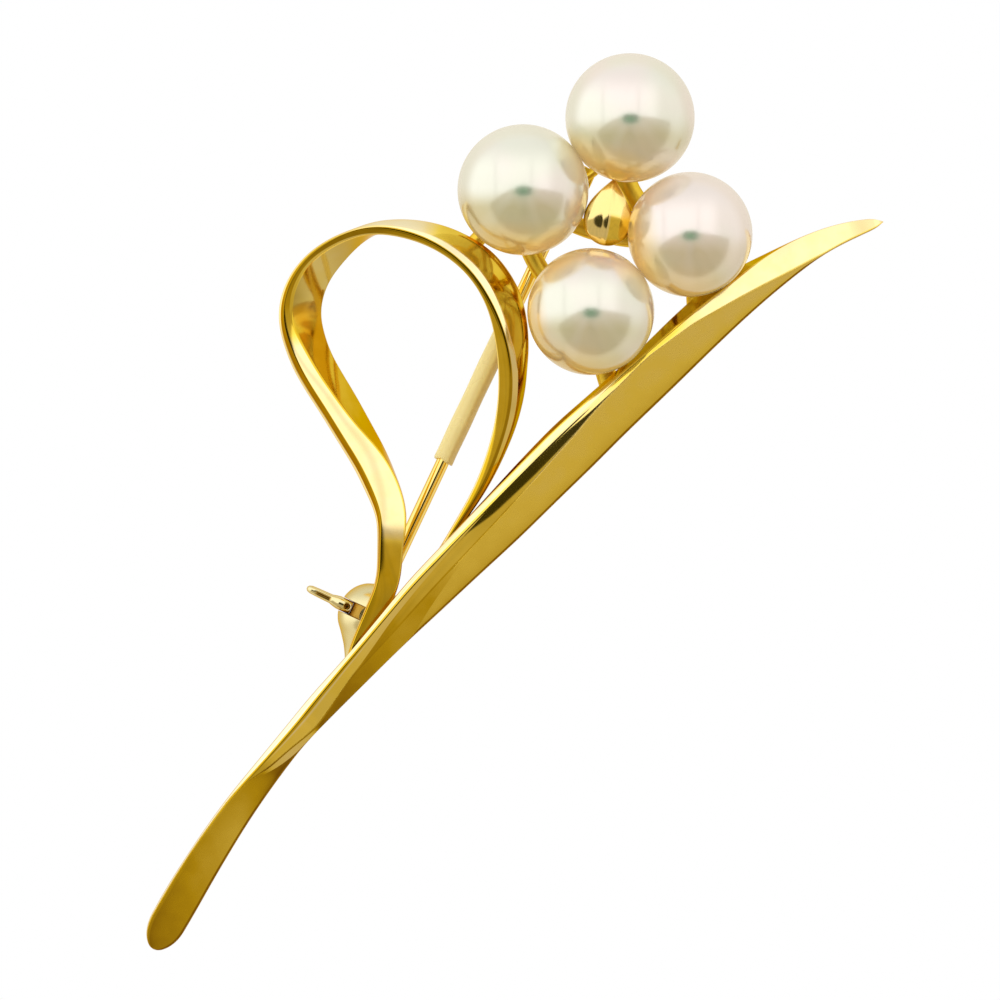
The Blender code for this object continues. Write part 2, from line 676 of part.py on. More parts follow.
def catch_profile(allowance):
    """Outside of the catch from its dome to its tail, along the pin's axis."""
    radius = CATCH_DIAMETER / 2 + allowance
    start = -math.asin(CATCH_TAIL_START / radius)
    dome = arc_profile(radius, math.pi / 2, start, 14, 0.0)
    dome[0] = (0.0, radius)
    wide = dome[-1][0]
    narrow = CATCH_TAIL_DIAMETER / 2 + allowance
    tail = []
    for index in range(1, 9):
        share = index / 8
        high = -CATCH_TAIL_START - (CATCH_TAIL_LENGTH - CATCH_TAIL_START) * share
        tail.append((narrow + (wide - narrow) * (1 - share) ** CATCH_TAIL_HOLLOW, high))
    return (*dome, *tail, (0.0, -CATCH_TAIL_LENGTH - allowance))


def sector_outline(radius, start, end, count=24):
    arc = [(radius * math.cos(angle), radius * math.sin(angle)) for angle in np.linspace(start, end, count)]
    return [(0.0, 0.0), *arc]


def build_catch(parent, gold):
    body = turned("catch_body", catch_profile(0.0), 40, CATCH_FRAME, parent, gold)
    rotor = ROTOR_DIAMETER / 2
    chamber_half = ROTOR_LENGTH / 2 + RUNNING_CLEARANCE
    chamber_radius = rotor + RUNNING_CLEARANCE
    chamber = cylinder_cutter("catch_chamber", chamber_radius, -chamber_half, chamber_half, CATCH_FRAME,
                              parent, 32)
    deep = PIN_PAST_CATCH + CATCH_BORE_SPARE
    far = CATCH_DIAMETER
    bore = cylinder_cutter("catch_bore", CATCH_SLOT / 2, -deep, far, CATCH_FRAME, parent, 20)
    mouth = box_mesh("catch_mouth", (-CATCH_SLOT / 2, -far, -deep), (CATCH_SLOT / 2, 0.0, far))
    lever_angle = math.asin((LEVER_DEPTH / 2 + RUNNING_CLEARANCE) / rotor)
    sector = sector_outline(far, -CATCH_TURN - lever_angle, lever_angle)
    window = outline_mesh("catch_window", sector, LEVER_ROOT + 2 * RUNNING_CLEARANCE)
    combine(body, chamber, "DIFFERENCE")
    combine(body, bore, "DIFFERENCE")
    combine(body, add_cutter("catch_mouth", mouth, CATCH_FRAME, parent), "DIFFERENCE")
    combine(body, add_cutter("catch_window", window, CATCH_FRAME, parent), "DIFFERENCE")

    half = ROTOR_LENGTH / 2
    tube = ((rotor, half), (rotor, -half), (CATCH_SLOT / 2, -half), (CATCH_SLOT / 2, half))
    sleeve = turned("catch_rotor", tube, 32, CATCH_FRAME, parent, gold, closed=True)
    slot = box_mesh("rotor_slot", (-CATCH_SLOT / 2, -far, -far), (CATCH_SLOT / 2, 0.0, far))
    combine(sleeve, add_cutter("rotor_slot", slot, CATCH_FRAME, parent), "DIFFERENCE")

    start = rotor + SEAM
    outline = ((start, -LEVER_ROOT / 2), (CATCH_DIAMETER / 2, -LEVER_ROOT / 2), (LEVER_REACH, -LEVER_TIP / 2),
               (LEVER_REACH, LEVER_TIP / 2), (CATCH_DIAMETER / 2, LEVER_ROOT / 2), (start, LEVER_ROOT / 2))
    flat = Matrix.Rotation(math.pi / 2, 4, "X")
    lever = add_object("catch_lever", outline_mesh("catch_lever", outline, LEVER_DEPTH), flat, sleeve, gold)
    bevel = lever.modifiers.new("Rounded edges", "BEVEL")
    bevel.width = LEVER_TIP / 4
    bevel.segments = 2
    bevel.limit_method = "ANGLE"

    foot = CATCH_BASE_DIAMETER / 2
    top = BACK_PLANE - SEAM
    base_profile = ((0.0, top), (foot, top), (foot, 0.0), (0.0, 0.0))
    base = turned("catch_base", base_profile, 24, Matrix.Translation(CATCH), parent, gold)
    hollow = turned_cutter("catch_base_hollow", catch_profile(SEAM), 40, CATCH_FRAME, parent)
    combine(base, hollow, "DIFFERENCE")


def build_brooch():
    clear_scene()
    gold = make_material("polished gold", (0.80, 0.58, 0.16), 0.18, 1.0)
    pearl = make_material("pearl", (0.91, 0.88, 0.83), 0.25, 0.0)
    plastic = make_material("cream plastic", (0.84, 0.72, 0.45), 0.4, 0.0)
    upright = bpy.data.objects.new("upright", None)
    PARTS.objects.link(upright)
    middle = (HINGE + CATCH) / 2
    upright.matrix_world = Matrix.Rotation(math.pi / 2, 4, "X") @ Matrix.Translation(-middle)
    build_blade(upright, gold)
    build_ribbon(upright, gold)
    for name in PEARLS:
        build_pearl(name, upright, pearl, gold)
    build_frame(upright, gold)
    build_drop(upright, gold)
    build_hinge(upright, gold)
    build_pin(upright, gold, plastic)
    build_catch(upright, gold)


build_brooch()
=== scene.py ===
import math

import bpy
import numpy as np
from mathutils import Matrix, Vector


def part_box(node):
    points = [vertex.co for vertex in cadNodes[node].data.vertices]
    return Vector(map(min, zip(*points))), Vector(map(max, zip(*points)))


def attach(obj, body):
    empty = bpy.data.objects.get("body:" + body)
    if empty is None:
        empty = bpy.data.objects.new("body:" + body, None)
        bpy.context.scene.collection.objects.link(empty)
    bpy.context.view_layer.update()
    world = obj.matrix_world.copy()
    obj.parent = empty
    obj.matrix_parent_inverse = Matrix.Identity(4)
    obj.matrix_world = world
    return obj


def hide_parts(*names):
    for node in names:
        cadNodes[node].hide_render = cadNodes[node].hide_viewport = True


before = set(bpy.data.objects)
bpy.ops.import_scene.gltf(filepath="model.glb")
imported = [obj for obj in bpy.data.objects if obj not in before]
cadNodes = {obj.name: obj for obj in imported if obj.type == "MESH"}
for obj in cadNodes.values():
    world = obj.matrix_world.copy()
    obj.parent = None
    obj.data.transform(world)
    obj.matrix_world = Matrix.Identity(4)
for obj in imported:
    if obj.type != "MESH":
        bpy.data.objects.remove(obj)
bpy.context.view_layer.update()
scene = bpy.context.scene
print("frame loaded:", len(cadNodes), "CAD nodes")

planShift = (0.000155889, 0.000162805)  # plan origin in the CAD frame, metres
backPlane = 2.23  # height of the blade's back over the pin, mm
forward = np.array((0.0, -1.0, 0.0))  # towards the viewer


def toWorld(x, y, h):
    # plan x, y and height towards the viewer, in mm, become metres along X, Z and minus Y
    return np.stack((x * 1e-3 + planShift[0], -h * 1e-3, y * 1e-3 + planShift[1]), axis=-1)


def boxMm(node):
    # a node's lowest and highest corners at rest, in mm
    return [np.array(corner) * 1000 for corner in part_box(node)]


def straightStep(value, low, high):
    # straight run from nought to one while the value goes from low to high
    return np.clip((value - low) / (high - low), 0, 1)


def softStep(value, low, high):
    # the same run, eased at both ends
    share = straightStep(value, low, high)
    return share * share * (3 - 2 * share)


def calmed(values, places, calm):
    # Gaussian mean along the places, with that many mm as its deviation
    weights = np.exp(-0.5 * ((places[:, None] - places[None]) / calm) ** 2) * np.gradient(places)[None]
    return weights @ values / weights.sum(axis=1)[:, None]


def alongRows(rows, count, crowd=0.0, calm=0.0):
    # Hermite curve through rows knotted by chord length, then calmed by that many mm away from the ends
    rows = np.array(rows, dtype=float)
    steps = np.linalg.norm(np.diff(rows[:, :2], axis=0), axis=1)
    knots = np.concatenate(([0.0], np.cumsum(steps)))
    slopes = np.diff(rows, axis=0) / steps[:, None]
    tangents = np.concatenate((slopes[:1], slopes[:-1], slopes[-1:]))
    shared = slopes[:-1] * steps[1:, None] + slopes[1:] * steps[:-1, None]
    tangents[1:-1] = shared / (steps[:-1] + steps[1:])[:, None]
    even = np.linspace(0.0, 1.0, count)
    places = knots[-1] * (even - crowd * np.sin(2 * math.pi * even) / (2 * math.pi))
    span = np.clip(np.searchsorted(knots, places, side="right") - 1, 0, len(steps) - 1)
    width = steps[span][:, None]
    t = ((places - knots[span]) / steps[span])[:, None]
    curve = rows[span] * (2 * t**3 - 3 * t**2 + 1) + tangents[span] * width * (t**3 - 2 * t**2 + t)
    curve += rows[span + 1] * (3 * t**2 - 2 * t**3) + tangents[span + 1] * width * (t**3 - t**2)
    if calm > 0.0:
        inner = softStep(np.minimum(places, places[-1] - places), 0.0, 3 * calm)[:, None]
        curve = curve + inner * (calmed(curve, places, calm) - curve)
    return curve, places


def alongTable(table, places, calm):
    # straight runs between the table's rows, by distance from the start, calmed by that many mm
    table = np.array(table, dtype=float)
    values = np.stack([np.interp(places, table[:, 0], column) for column in table[:, 1:].T], axis=1)
    return calmed(values, places, calm)


def sideways(centres):
    # unit normals to the left of a plan curve
    tangents = np.gradient(centres, axis=0)
    tangents /= np.linalg.norm(tangents, axis=1)[:, None]
    return np.column_stack((-tangents[:, 1], tangents[:, 0]))


arcCount = 6  # points on a corner's arc
sideShares = (0.03, 0.09, 0.2, 0.35, 0.5, 0.65, 0.8, 0.91, 0.97)  # points on the side after it


def sideColumns(corner):
    # columns of a rounded ring that lie on the side after a corner
    whole = arcCount + len(sideShares)
    return slice(corner * whole + arcCount, (corner + 1) * whole)


def roundedRing(corners, radii, bulges):
    # corners: sections x corners x 2; each corner becomes a quadratic arc of its radius, each side a line
    # that may bulge
    count = corners.shape[1]
    bend = np.linspace(0.0, 1.0, arcCount)[None, :, None]
    inside = np.array(sideShares)[None, :, None]
    starts, ends, pieces = [], [], []
    for index in range(count):
        here = corners[:, index]
        before = corners[:, index - 1] - here
        after = corners[:, (index + 1) % count] - here
        lengthBefore = np.linalg.norm(before, axis=1)[:, None] + 1e-9
        lengthAfter = np.linalg.norm(after, axis=1)[:, None] + 1e-9
        starts.append(here + before / lengthBefore * np.minimum(radii[index], 0.45 * lengthBefore))
        ends.append(here + after / lengthAfter * np.minimum(radii[index], 0.45 * lengthAfter))
    for index in range(count):
        here, a, b = corners[:, index, None], starts[index][:, None], ends[index][:, None]
        pieces.append(a * (1 - bend) ** 2 + 2 * here * bend * (1 - bend) + b * bend**2)
        a, b = ends[index][:, None], starts[(index + 1) % count][:, None]
        side = b - a
        length = np.linalg.norm(side, axis=2, keepdims=True) + 1e-9
        normal = np.stack((side[..., 1], -side[..., 0]), axis=-1) / length
        bulge = bulges[index]
        bulge = bulge[:, None, None] if isinstance(bulge, np.ndarray) else bulge
        pieces.append(a + side * inside + normal * bulge * 4 * inside * (1 - inside))
    return np.concatenate(pieces, axis=1)


def ringTones(pairs, flat):
    # one painted tone of light and shade for each corner's arc and one for the side after it, each a number
    # or one value for every section
    columns = []
    for arcTone, sideTone in pairs:
        columns += [arcTone * flat] * arcCount + [sideTone * flat] * len(sideShares)
    return np.stack(columns, axis=1)


def gridFaces(points, capped, looped):
    # quads between neighbouring rings and columns; capped ends get a fan to their middle, looped rings meet
    # again
    rings, columns = points.shape[:2]
    index = np.arange(rings * columns).reshape(rings, columns)
    below = np.roll(index, -1, axis=0) if looped else index[1:]
    above = index if looped else index[:-1]
    aboveNext, belowNext = np.roll(above, -1, axis=1), np.roll(below, -1, axis=1)
    quads = np.stack((above, aboveNext, belowNext, below), axis=-1).reshape(-1, 4)
    vertices = points.reshape(-1, 3)
    fans = np.zeros((0, 3), dtype=int)
    if capped:
        low, high = rings * columns, rings * columns + 1
        fans = np.concatenate((
            np.stack((np.roll(index[0], -1), index[0], np.full(columns, low)), axis=-1),
            np.stack((index[-1], np.roll(index[-1], -1), np.full(columns, high)), axis=-1)))
        vertices = np.concatenate((vertices, points[0].mean(axis=0)[None], points[-1].mean(axis=0)[None]))
    triangles = np.concatenate((quads[:, [0, 1, 2]], quads[:, [0, 2, 3]], fans))
    a, b, c = (vertices[triangles[:, k]] - vertices.mean(axis=0) for k in range(3))
    if np.einsum("ij,ij->", a, np.cross(b, c)) < 0:
        quads, fans = quads[:, ::-1], fans[:, ::-1]
    return vertices, quads, fans


def makePiece(name, grids, material, body, node):
    # each grid is a dictionary: points, and where wanted values by name, or rings that meet again in a loop
    allVertices, allQuads, allFans, allValues, total = [], [], [], {}, 0
    for grid in grids:
        capped = not grid.get("looped", False)
        vertices, quads, fans = gridFaces(grid["points"], capped, not capped)
        for label, array in grid.get("values", {}).items():
            tips = (array[0].mean(), array[-1].mean()) if capped else ()
            allValues.setdefault(label, []).append(np.concatenate((array.ravel(), tips)))
        allVertices.append(vertices)
        allQuads.append(quads + total)
        allFans.append(fans + total)
        total += len(vertices)
    vertices, quads, fans = np.concatenate(allVertices), np.concatenate(allQuads), np.concatenate(allFans)
    corners = np.concatenate((quads.ravel(), fans.ravel()))
    starts = np.concatenate((np.arange(len(quads)) * 4, len(quads) * 4 + np.arange(len(fans)) * 3))
    mesh = bpy.data.meshes.new(name)
    mesh.vertices.add(len(vertices))
    mesh.vertices.foreach_set("co", vertices.ravel())
    mesh.loops.add(len(corners))
    mesh.loops.foreach_set("vertex_index", corners.astype(np.int32))
    mesh.polygons.add(len(starts))
    mesh.polygons.foreach_set("loop_start", starts.astype(np.int32))
    mesh.update(calc_edges=True)
    mesh.polygons.foreach_set("use_smooth", np.ones(len(starts), dtype=bool))
    for label, arrays in allValues.items():
        mesh.attributes.new(label, "FLOAT", "POINT").data.foreach_set("value", np.concatenate(arrays))
    mesh.validate()
    piece = bpy.data.objects.new(name, mesh)
    scene.collection.objects.link(piece)
    mesh.materials.append(material)
    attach(piece, body)
    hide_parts(node)
    print("piece", name, len(vertices), "points")
    return piece


def softLine(points, radius, arc=6):
    # open line whose inner corners become quadratic arcs of that radius
    points = np.array(points, dtype=float)
    here, before, after = points[1:-1], points[:-2] - points[1:-1], points[2:] - points[1:-1]
    lengthBefore = np.linalg.norm(before, axis=1)[:, None]
    lengthAfter = np.linalg.norm(after, axis=1)[:, None]
    a = (here + before / lengthBefore * np.minimum(radius, 0.45 * lengthBefore))[:, None]
    b = (here + after / lengthAfter * np.minimum(radius, 0.45 * lengthAfter))[:, None]
    t = np.linspace(0.0, 1.0, arc)[None, :, None]
    bent = (a * (1 - t) ** 2 + 2 * here[:, None] * t * (1 - t) + b * t**2).reshape(-1, 2)
    return np.concatenate((points[:1], bent, points[-1:]))


def turned(profile, origin, axis, side, steps):
    # rows of radius and height along the axis, carried round it; all in mm, origin too
    profile, origin, axis, side = (np.array(item, dtype=float) for item in (profile, origin, axis, side))
    angle = np.linspace(0, 2 * math.pi, steps, endpoint=False)
    other = np.cross(axis, side)
    spoke = np.cos(angle)[:, None] * side + np.sin(angle)[:, None] * other
    return (origin + profile[:, 1, None, None] * axis + profile[:, 0, None, None] * spoke[None]) * 1e-3


def superellipse(sides, power):
    # cosine and sine round a circle, each raised to two over the power with its sign kept
    angle = np.linspace(0, 2 * math.pi, sides, endpoint=False)
    cosine, sine = np.cos(angle), np.sin(angle)
    return np.sign(cosine) * np.abs(cosine) ** (2 / power), np.sign(sine) * np.abs(sine) ** (2 / power)


def roundWire(line, halfWide, halfHigh, level):
    # a superellipse carried along a plan line of X and Z in mm, at a height in front
    line = np.array(line, dtype=float)
    across, ahead = superellipse(28, 2.1)
    plan = line[:, None] + sideways(line)[:, None] * (halfWide * across)[None, :, None]
    high = level + halfHigh * ahead[None] + np.zeros((len(line), 1))
    return np.stack((plan[..., 0], -high, plan[..., 1]), axis=-1) * 1e-3


# node helpers

def addNode(tree, kind, values=None, **settings):
    node = tree.nodes.new(kind)
    for label, value in settings.items():
        setattr(node, label, value)
    for socket, value in (values or {}).items():
        target = node.inputs[socket]
        if isinstance(value, bpy.types.NodeSocket):
            tree.links.new(value, target)
        else:
            target.default_value = value
    return node


def calc(tree, operation, *values):
    return addNode(tree, "ShaderNodeMath", dict(enumerate(values)), operation=operation).outputs[0]


def times(tree, first, second):
    return calc(tree, "MULTIPLY", first, second)


def plus(tree, first, second):
    return calc(tree, "ADD", first, second)


def minus(tree, first, second):
    return calc(tree, "SUBTRACT", first, second)


def rampBetween(tree, value, low, high, start=0.0, end=1.0):
    # smooth step from start to end while the value goes from low to high
    values = {"Value": value, "From Min": low, "From Max": high, "To Min": start, "To Max": end}
    return addNode(tree, "ShaderNodeMapRange", values, interpolation_type="SMOOTHSTEP").outputs[0]


def blendColour(tree, share, first, second):
    return addNode(tree, "ShaderNodeMix", {0: share, 6: first, 7: second}, data_type="RGBA").outputs[2]


def blendValue(tree, share, first, second):
    return addNode(tree, "ShaderNodeMix", {0: share, 2: first, 3: second}, data_type="FLOAT").outputs[0]


def noiseAt(tree, place, scale, detail, roughness=0.5):
    values = {"Vector": place, "Scale": scale, "Detail": detail, "Roughness": roughness}
    return addNode(tree, "ShaderNodeTexNoise", values).outputs[0]


def attributeOf(tree, label):
    return addNode(tree, "ShaderNodeAttribute", attribute_name=label).outputs["Fac"]


def addBump(tree, shader, height, strength, distance):
    bump = addNode(tree, "ShaderNodeBump", {"Strength": strength, "Distance": distance, "Height": height})
    tree.links.new(bump.outputs[0], shader.inputs["Normal"])


def newMaterial(name):
    material = bpy.data.materials.new(name)
    material.use_nodes = True
    tree = material.node_tree
    place = addNode(tree, "ShaderNodeTexCoord").outputs["Object"]
    return material, tree, tree.nodes["Principled BSDF"], place


def newGroup(name, inputs, outputs):
    group = bpy.data.node_groups.new(name, "ShaderNodeTree")
    for label, kind, value in inputs:
        socket = group.interface.new_socket(name=label, in_out="INPUT", socket_type=kind)
        if value is not None:
            socket.default_value = value
    for label, kind in outputs:
        group.interface.new_socket(name=label, in_out="OUTPUT", socket_type=kind)
    return group, group.nodes.new("NodeGroupInput").outputs, group.nodes.new("NodeGroupOutput").inputs


# studio: a bright tent all round with its opening low in front, seen only in reflections

studio = {
    "panel": (1.32, 1.30, 1.25, 1.0),
    "ceiling": (0.86, 0.85, 0.81, 1.0),
    "rightPanel": (0.99, 0.96, 0.88, 1.0),
    "ring": (0.98, 0.92, 0.82, 1.0),
    "ground": (0.62, 0.54, 0.39, 1.0),
    "stand": (0.44, 0.40, 0.30, 1.0),
    "lens": (0.046, 0.042, 0.02, 1.0),
    "back": (0.84, 0.77, 0.64, 1.0),
    # places on the disc of a mirror ball; an edge is where a change starts and where it ends
    "rightEdge": (0.30, 0.52), "ceilingEdge": (0.30, 0.72),
    "ringEdge": (-0.02, -0.30), "backEdge": (0.74, 0.90),
    "seams": (-0.42, 0.13), "seamEdge": (0.045, 0.0), "seamFade": (0.62, 0.30), "seamDepth": 0.6,
    "fanMiddle": (0.05, -0.10), "fanHalf": (0.58, 0.60), "fanEdge": (1.04, 0.92),
    "browFall": 0.7, "browBend": 0.25, "browEdge": (0.045, 0.015),
    "rayStart": 0.12, "rayCount": 7.0, "rayEdge": (0.40, 0.65), "rayDepth": 0.5,
    "standSlant": 0.05, "standEdge": (0.075, 0.03), "standFade": (-0.50, -0.30), "standDepth": 0.7,
    "lensMiddle": (0.01, -0.02), "lensHalf": (0.13, 0.075), "lensEdge": (1.3, 0.6),
}


def studioWorld():
    # every direction is placed on the disc of a mirror ball: its sideways parts over the root of twice one
    # plus its forward part
    world = bpy.data.worlds.new("softTent")
    scene.world = world
    world.use_nodes = True
    tree = world.node_tree
    tree.nodes.clear()
    way = addNode(tree, "ShaderNodeTexCoord").outputs["Generated"]
    parts = addNode(tree, "ShaderNodeSeparateXYZ", {0: way}).outputs
    reach = calc(tree, "SQRT", calc(tree, "MAXIMUM", times(tree, minus(tree, 1.0, parts[1]), 2.0), 0.0004))
    u = calc(tree, "DIVIDE", parts[0], reach)
    v = calc(tree, "DIVIDE", parts[2], reach)
    radius = calc(tree, "SQRT", plus(tree, times(tree, u, u), times(tree, v, v)))
    # panels with two faint upright seams, dimmer on the right, a dimmer ceiling, and a cream ring below
    right = rampBetween(tree, u, *studio["rightEdge"])
    colour = blendColour(tree, right, studio["panel"], studio["rightPanel"])
    colour = blendColour(tree, rampBetween(tree, v, *studio["ceilingEdge"]), colour, studio["ceiling"])
    colour = blendColour(tree, rampBetween(tree, v, *studio["ringEdge"]), colour, studio["ring"])
    for seam in studio["seams"]:
        line = rampBetween(tree, calc(tree, "ABSOLUTE", minus(tree, u, seam)), *studio["seamEdge"])
        line = times(tree, line, rampBetween(tree, v, *studio["seamFade"]))
        colour = blendColour(tree, times(tree, line, studio["seamDepth"]), colour, studio["ceiling"])
    colour = blendColour(tree, rampBetween(tree, radius, *studio["backEdge"]), colour, studio["back"])
    # the opening: a fan below the lens, a little wider to the right, whose brow falls away to the left
    wide, tall = (calc(tree, "DIVIDE", minus(tree, place, middle), half)
                  for place, middle, half in zip((u, v), studio["fanMiddle"], studio["fanHalf"]))
    away = calc(tree, "SQRT", plus(tree, times(tree, wide, wide), times(tree, tall, tall)))
    leftward = calc(tree, "MINIMUM", u, 0.0)
    fall = times(tree, times(tree, leftward, leftward), studio["browFall"])
    brow = plus(tree, plus(tree, v, fall), times(tree, times(tree, u, u), studio["browBend"]))
    inside = rampBetween(tree, away, *studio["fanEdge"])
    inside = times(tree, inside, rampBetween(tree, brow, *studio["browEdge"]))
    turn = times(tree, calc(tree, "ARCTAN2", u, minus(tree, studio["rayStart"], v)), studio["rayCount"])
    rays = noiseAt(tree, addNode(tree, "ShaderNodeCombineXYZ", {0: turn}).outputs[0], 1.0, 2.0)
    rays = rampBetween(tree, rays, *studio["rayEdge"], 0.0, studio["rayDepth"])
    ground = blendColour(tree, rays, studio["ground"], studio["stand"])
    slant = calc(tree, "ABSOLUTE", plus(tree, u, times(tree, v, studio["standSlant"])))
    stand = rampBetween(tree, slant, *studio["standEdge"])
    stand = times(tree, stand, rampBetween(tree, v, *studio["standFade"]))
    ground = blendColour(tree, times(tree, stand, studio["standDepth"]), ground, studio["stand"])
    colour = blendColour(tree, inside, colour, ground)
    # the lens in the middle of the opening's upper edge, a rounded box by the third powers of its shares
    powers = []
    for place, middle, half in zip((u, v), studio["lensMiddle"], studio["lensHalf"]):
        share = calc(tree, "ABSOLUTE", calc(tree, "DIVIDE", minus(tree, place, middle), half))
        powers.append(calc(tree, "POWER", share, 3.0))
    lens = rampBetween(tree, plus(tree, *powers), *studio["lensEdge"])
    colour = blendColour(tree, lens, colour, studio["lens"])
    seen = addNode(tree, "ShaderNodeBackground", {"Color": (1.0, 1.0, 1.0, 1.0), "Strength": 1.0}).outputs[0]
    tent = addNode(tree, "ShaderNodeBackground", {"Color": colour, "Strength": 1.0}).outputs[0]
    camera = addNode(tree, "ShaderNodeLightPath").outputs["Is Camera Ray"]
    mixed = addNode(tree, "ShaderNodeMixShader", {0: camera, 1: tent, 2: seen}).outputs[0]
    addNode(tree, "ShaderNodeOutputWorld", {"Surface": mixed})


studioWorld()

shot = {"distance": 1.8, "frameWidth": 0.0571429, "middle": (0.001527, -0.005894), "sensor": 36.0}
camera = bpy.data.objects.new("camera", bpy.data.cameras.new("camera"))
scene.collection.objects.link(camera)
camera.data.sensor_width = shot["sensor"]
camera.data.lens = shot["sensor"] * shot["distance"] / shot["frameWidth"]
camera.data.clip_start, camera.data.clip_end = 0.01, 50.0
camera.location = (shot["middle"][0], -shot["distance"], shot["middle"][1])
camera.rotation_euler = (math.pi / 2, 0.0, 0.0)
scene.camera = camera
scene.view_settings.view_transform = "Standard"
scene.view_settings.look = "None"
print("camera and studio set")

# shared surface effects

polishScales = {"slow": 330.0, "fine": 5200.0, "patches": 900.0, "markDepth": 0.04}
polishGroup, given, wanted = newGroup(
    "handPolish",
    (("Place", "NodeSocketVector", None), ("Waves", "NodeSocketFloat", 0.5),
     ("Marks", "NodeSocketFloat", 0.5)),
    (("Height", "NodeSocketFloat"), ("Haze", "NodeSocketFloat"), ("Tone", "NodeSocketFloat")))
slow = noiseAt(polishGroup, given["Place"], polishScales["slow"], 1.5)
fine = noiseAt(polishGroup, given["Place"], polishScales["fine"], 3.0, 0.65)
patches = noiseAt(polishGroup, given["Place"], polishScales["patches"], 3.0)
waves = times(polishGroup, slow, given["Waves"])
marks = times(polishGroup, fine, times(polishGroup, given["Marks"], polishScales["markDepth"]))
haze = plus(polishGroup, times(polishGroup, fine, 0.5), times(polishGroup, patches, 0.5))
polishGroup.links.new(plus(polishGroup, waves, marks), wanted["Height"])
polishGroup.links.new(rampBetween(polishGroup, haze, 0.3, 0.7), wanted["Haze"])
polishGroup.links.new(rampBetween(polishGroup, patches, 0.25, 0.75), wanted["Tone"])

# pale, light, deep, warm and brown metal: light and deep are the metal's own yellows, pale is a painted
# highlight, warm and brown are painted shade
goldTones = ((1.0, 0.93, 0.72, 1.0), (0.96, 0.76, 0.33, 1.0), (0.96, 0.70, 0.10, 1.0),
             (0.67, 0.42, 0.012, 1.0), (0.28, 0.13, 0.005, 1.0))
paleTones = ((0.92, 0.88, 0.70, 1.0), (0.86, 0.79, 0.50, 1.0), (0.78, 0.67, 0.33, 1.0),
             (0.56, 0.34, 0.06, 1.0), (0.16, 0.07, 0.006, 1.0))
goldFinish = {
    # the colour that the painted shade attribute darkens towards
    "paintedShadeColour": (0.06, 0.04, 0.005, 1.0), "slant": (0.93, 0.66, 0.20, 1.0), "spread": 0.07, "satin": 0.2,
    "bump": 0.35, "bumpDepth": 0.00002,
}


def goldMaterial(name, tones, start, smooth, hazy, waves, marks, toned=False):
    # the tone runs from minus one to three over the five metals; in a toned one a painted tone attribute
    # moves it between painted highlight and painted shade, a painted shade attribute darkens it and a satin
    # attribute roughens it
    material, tree, shader, place = newMaterial(name)
    given = {"Place": place, "Waves": waves, "Marks": marks}
    polish = addNode(tree, "ShaderNodeGroup", given, node_tree=polishGroup)
    rough = blendValue(tree, polish.outputs["Haze"], smooth, hazy)
    low, high = start - goldFinish["spread"], start + goldFinish["spread"]
    share = rampBetween(tree, polish.outputs["Tone"], 0.0, 1.0, low, high)
    if toned:
        share = plus(tree, share, attributeOf(tree, "paintedTone"))
        rough = plus(tree, rough, times(tree, attributeOf(tree, "satin"), goldFinish["satin"]))
    colour = tones[0]
    for number, paintedTone in enumerate(tones[1:]):
        values = {"Value": share, "From Min": number - 1.0, "From Max": float(number)}
        step = addNode(tree, "ShaderNodeMapRange", values)
        colour = blendColour(tree, step.outputs[0], colour, paintedTone)
    if toned:
        colour = blendColour(tree, attributeOf(tree, "paintedShade"), colour, goldFinish["paintedShadeColour"])
    tree.links.new(colour, shader.inputs["Base Color"])
    tree.links.new(rough, shader.inputs["Roughness"])
    shader.inputs["Metallic"].default_value = 1.0
    shader.inputs["Specular Tint"].default_value = goldFinish["slant"]  # keeps the metal yellow at a slant
    addBump(tree, shader, polish.outputs["Height"], goldFinish["bump"], goldFinish["bumpDepth"])
    return material


gold = goldMaterial("yellowGold", goldTones, 0.4, 0.05, 0.10, 0.5, 0.5)
goldWorked = goldMaterial("yellowGoldWorked", goldTones, 0.0, 0.06, 0.10, 0.5, 0.5, toned=True)
# satin gold for the parts behind the pearls, started darker as painted shade
goldShadedBehind = goldMaterial("yellowGoldShadedBehind", goldTones, 1.5, 0.28, 0.38, 0.5, 0.8)
goldPale = goldMaterial("paleGold", paleTones, 0.5, 0.12, 0.2, 0.4, 0.6)
paleWorked = goldMaterial("paleGoldWorked", paleTones, 0.0, 0.10, 0.17, 0.4, 0.6, toned=True)
# pale gold started near brown, painted shade for the rotor inside the catch
paleShadedInside = goldMaterial("paleGoldShadedInside", paleTones, 2.2, 0.2, 0.3, 0.4, 0.6)

nacreFinish = {
    # greenish and pink
    "upper": ((0.85, 0.86, 0.77, 1.0), (0.91, 0.83, 0.81, 1.0)),
    # darker and golden: painted reflection on the lower front
    "lower": ((0.67, 0.64, 0.43, 1.0), (0.72, 0.63, 0.46, 1.0)),
    # painted reflections: the gold's colour where gold is beside the pearl, and the lens as a green spot
    "goldGlow": (0.86, 0.57, 0.10, 1.0), "paintedLensSpot": (0.46, 0.68, 0.48, 1.0),
    # painted glow emitted though the pearl is no lamp: alone, on a side where gold is reflected and beside a
    # neighbour
    "through": ((0.012, 0.012, 0.010, 1.0), (0.085, 0.055, 0.018, 1.0), (0.10, 0.088, 0.062, 1.0)),
    "cloud": 230.0, "grain": 2600.0, "metallic": 0.48, "coat": (0.35, 0.10), "coatRough": 0.10,
}


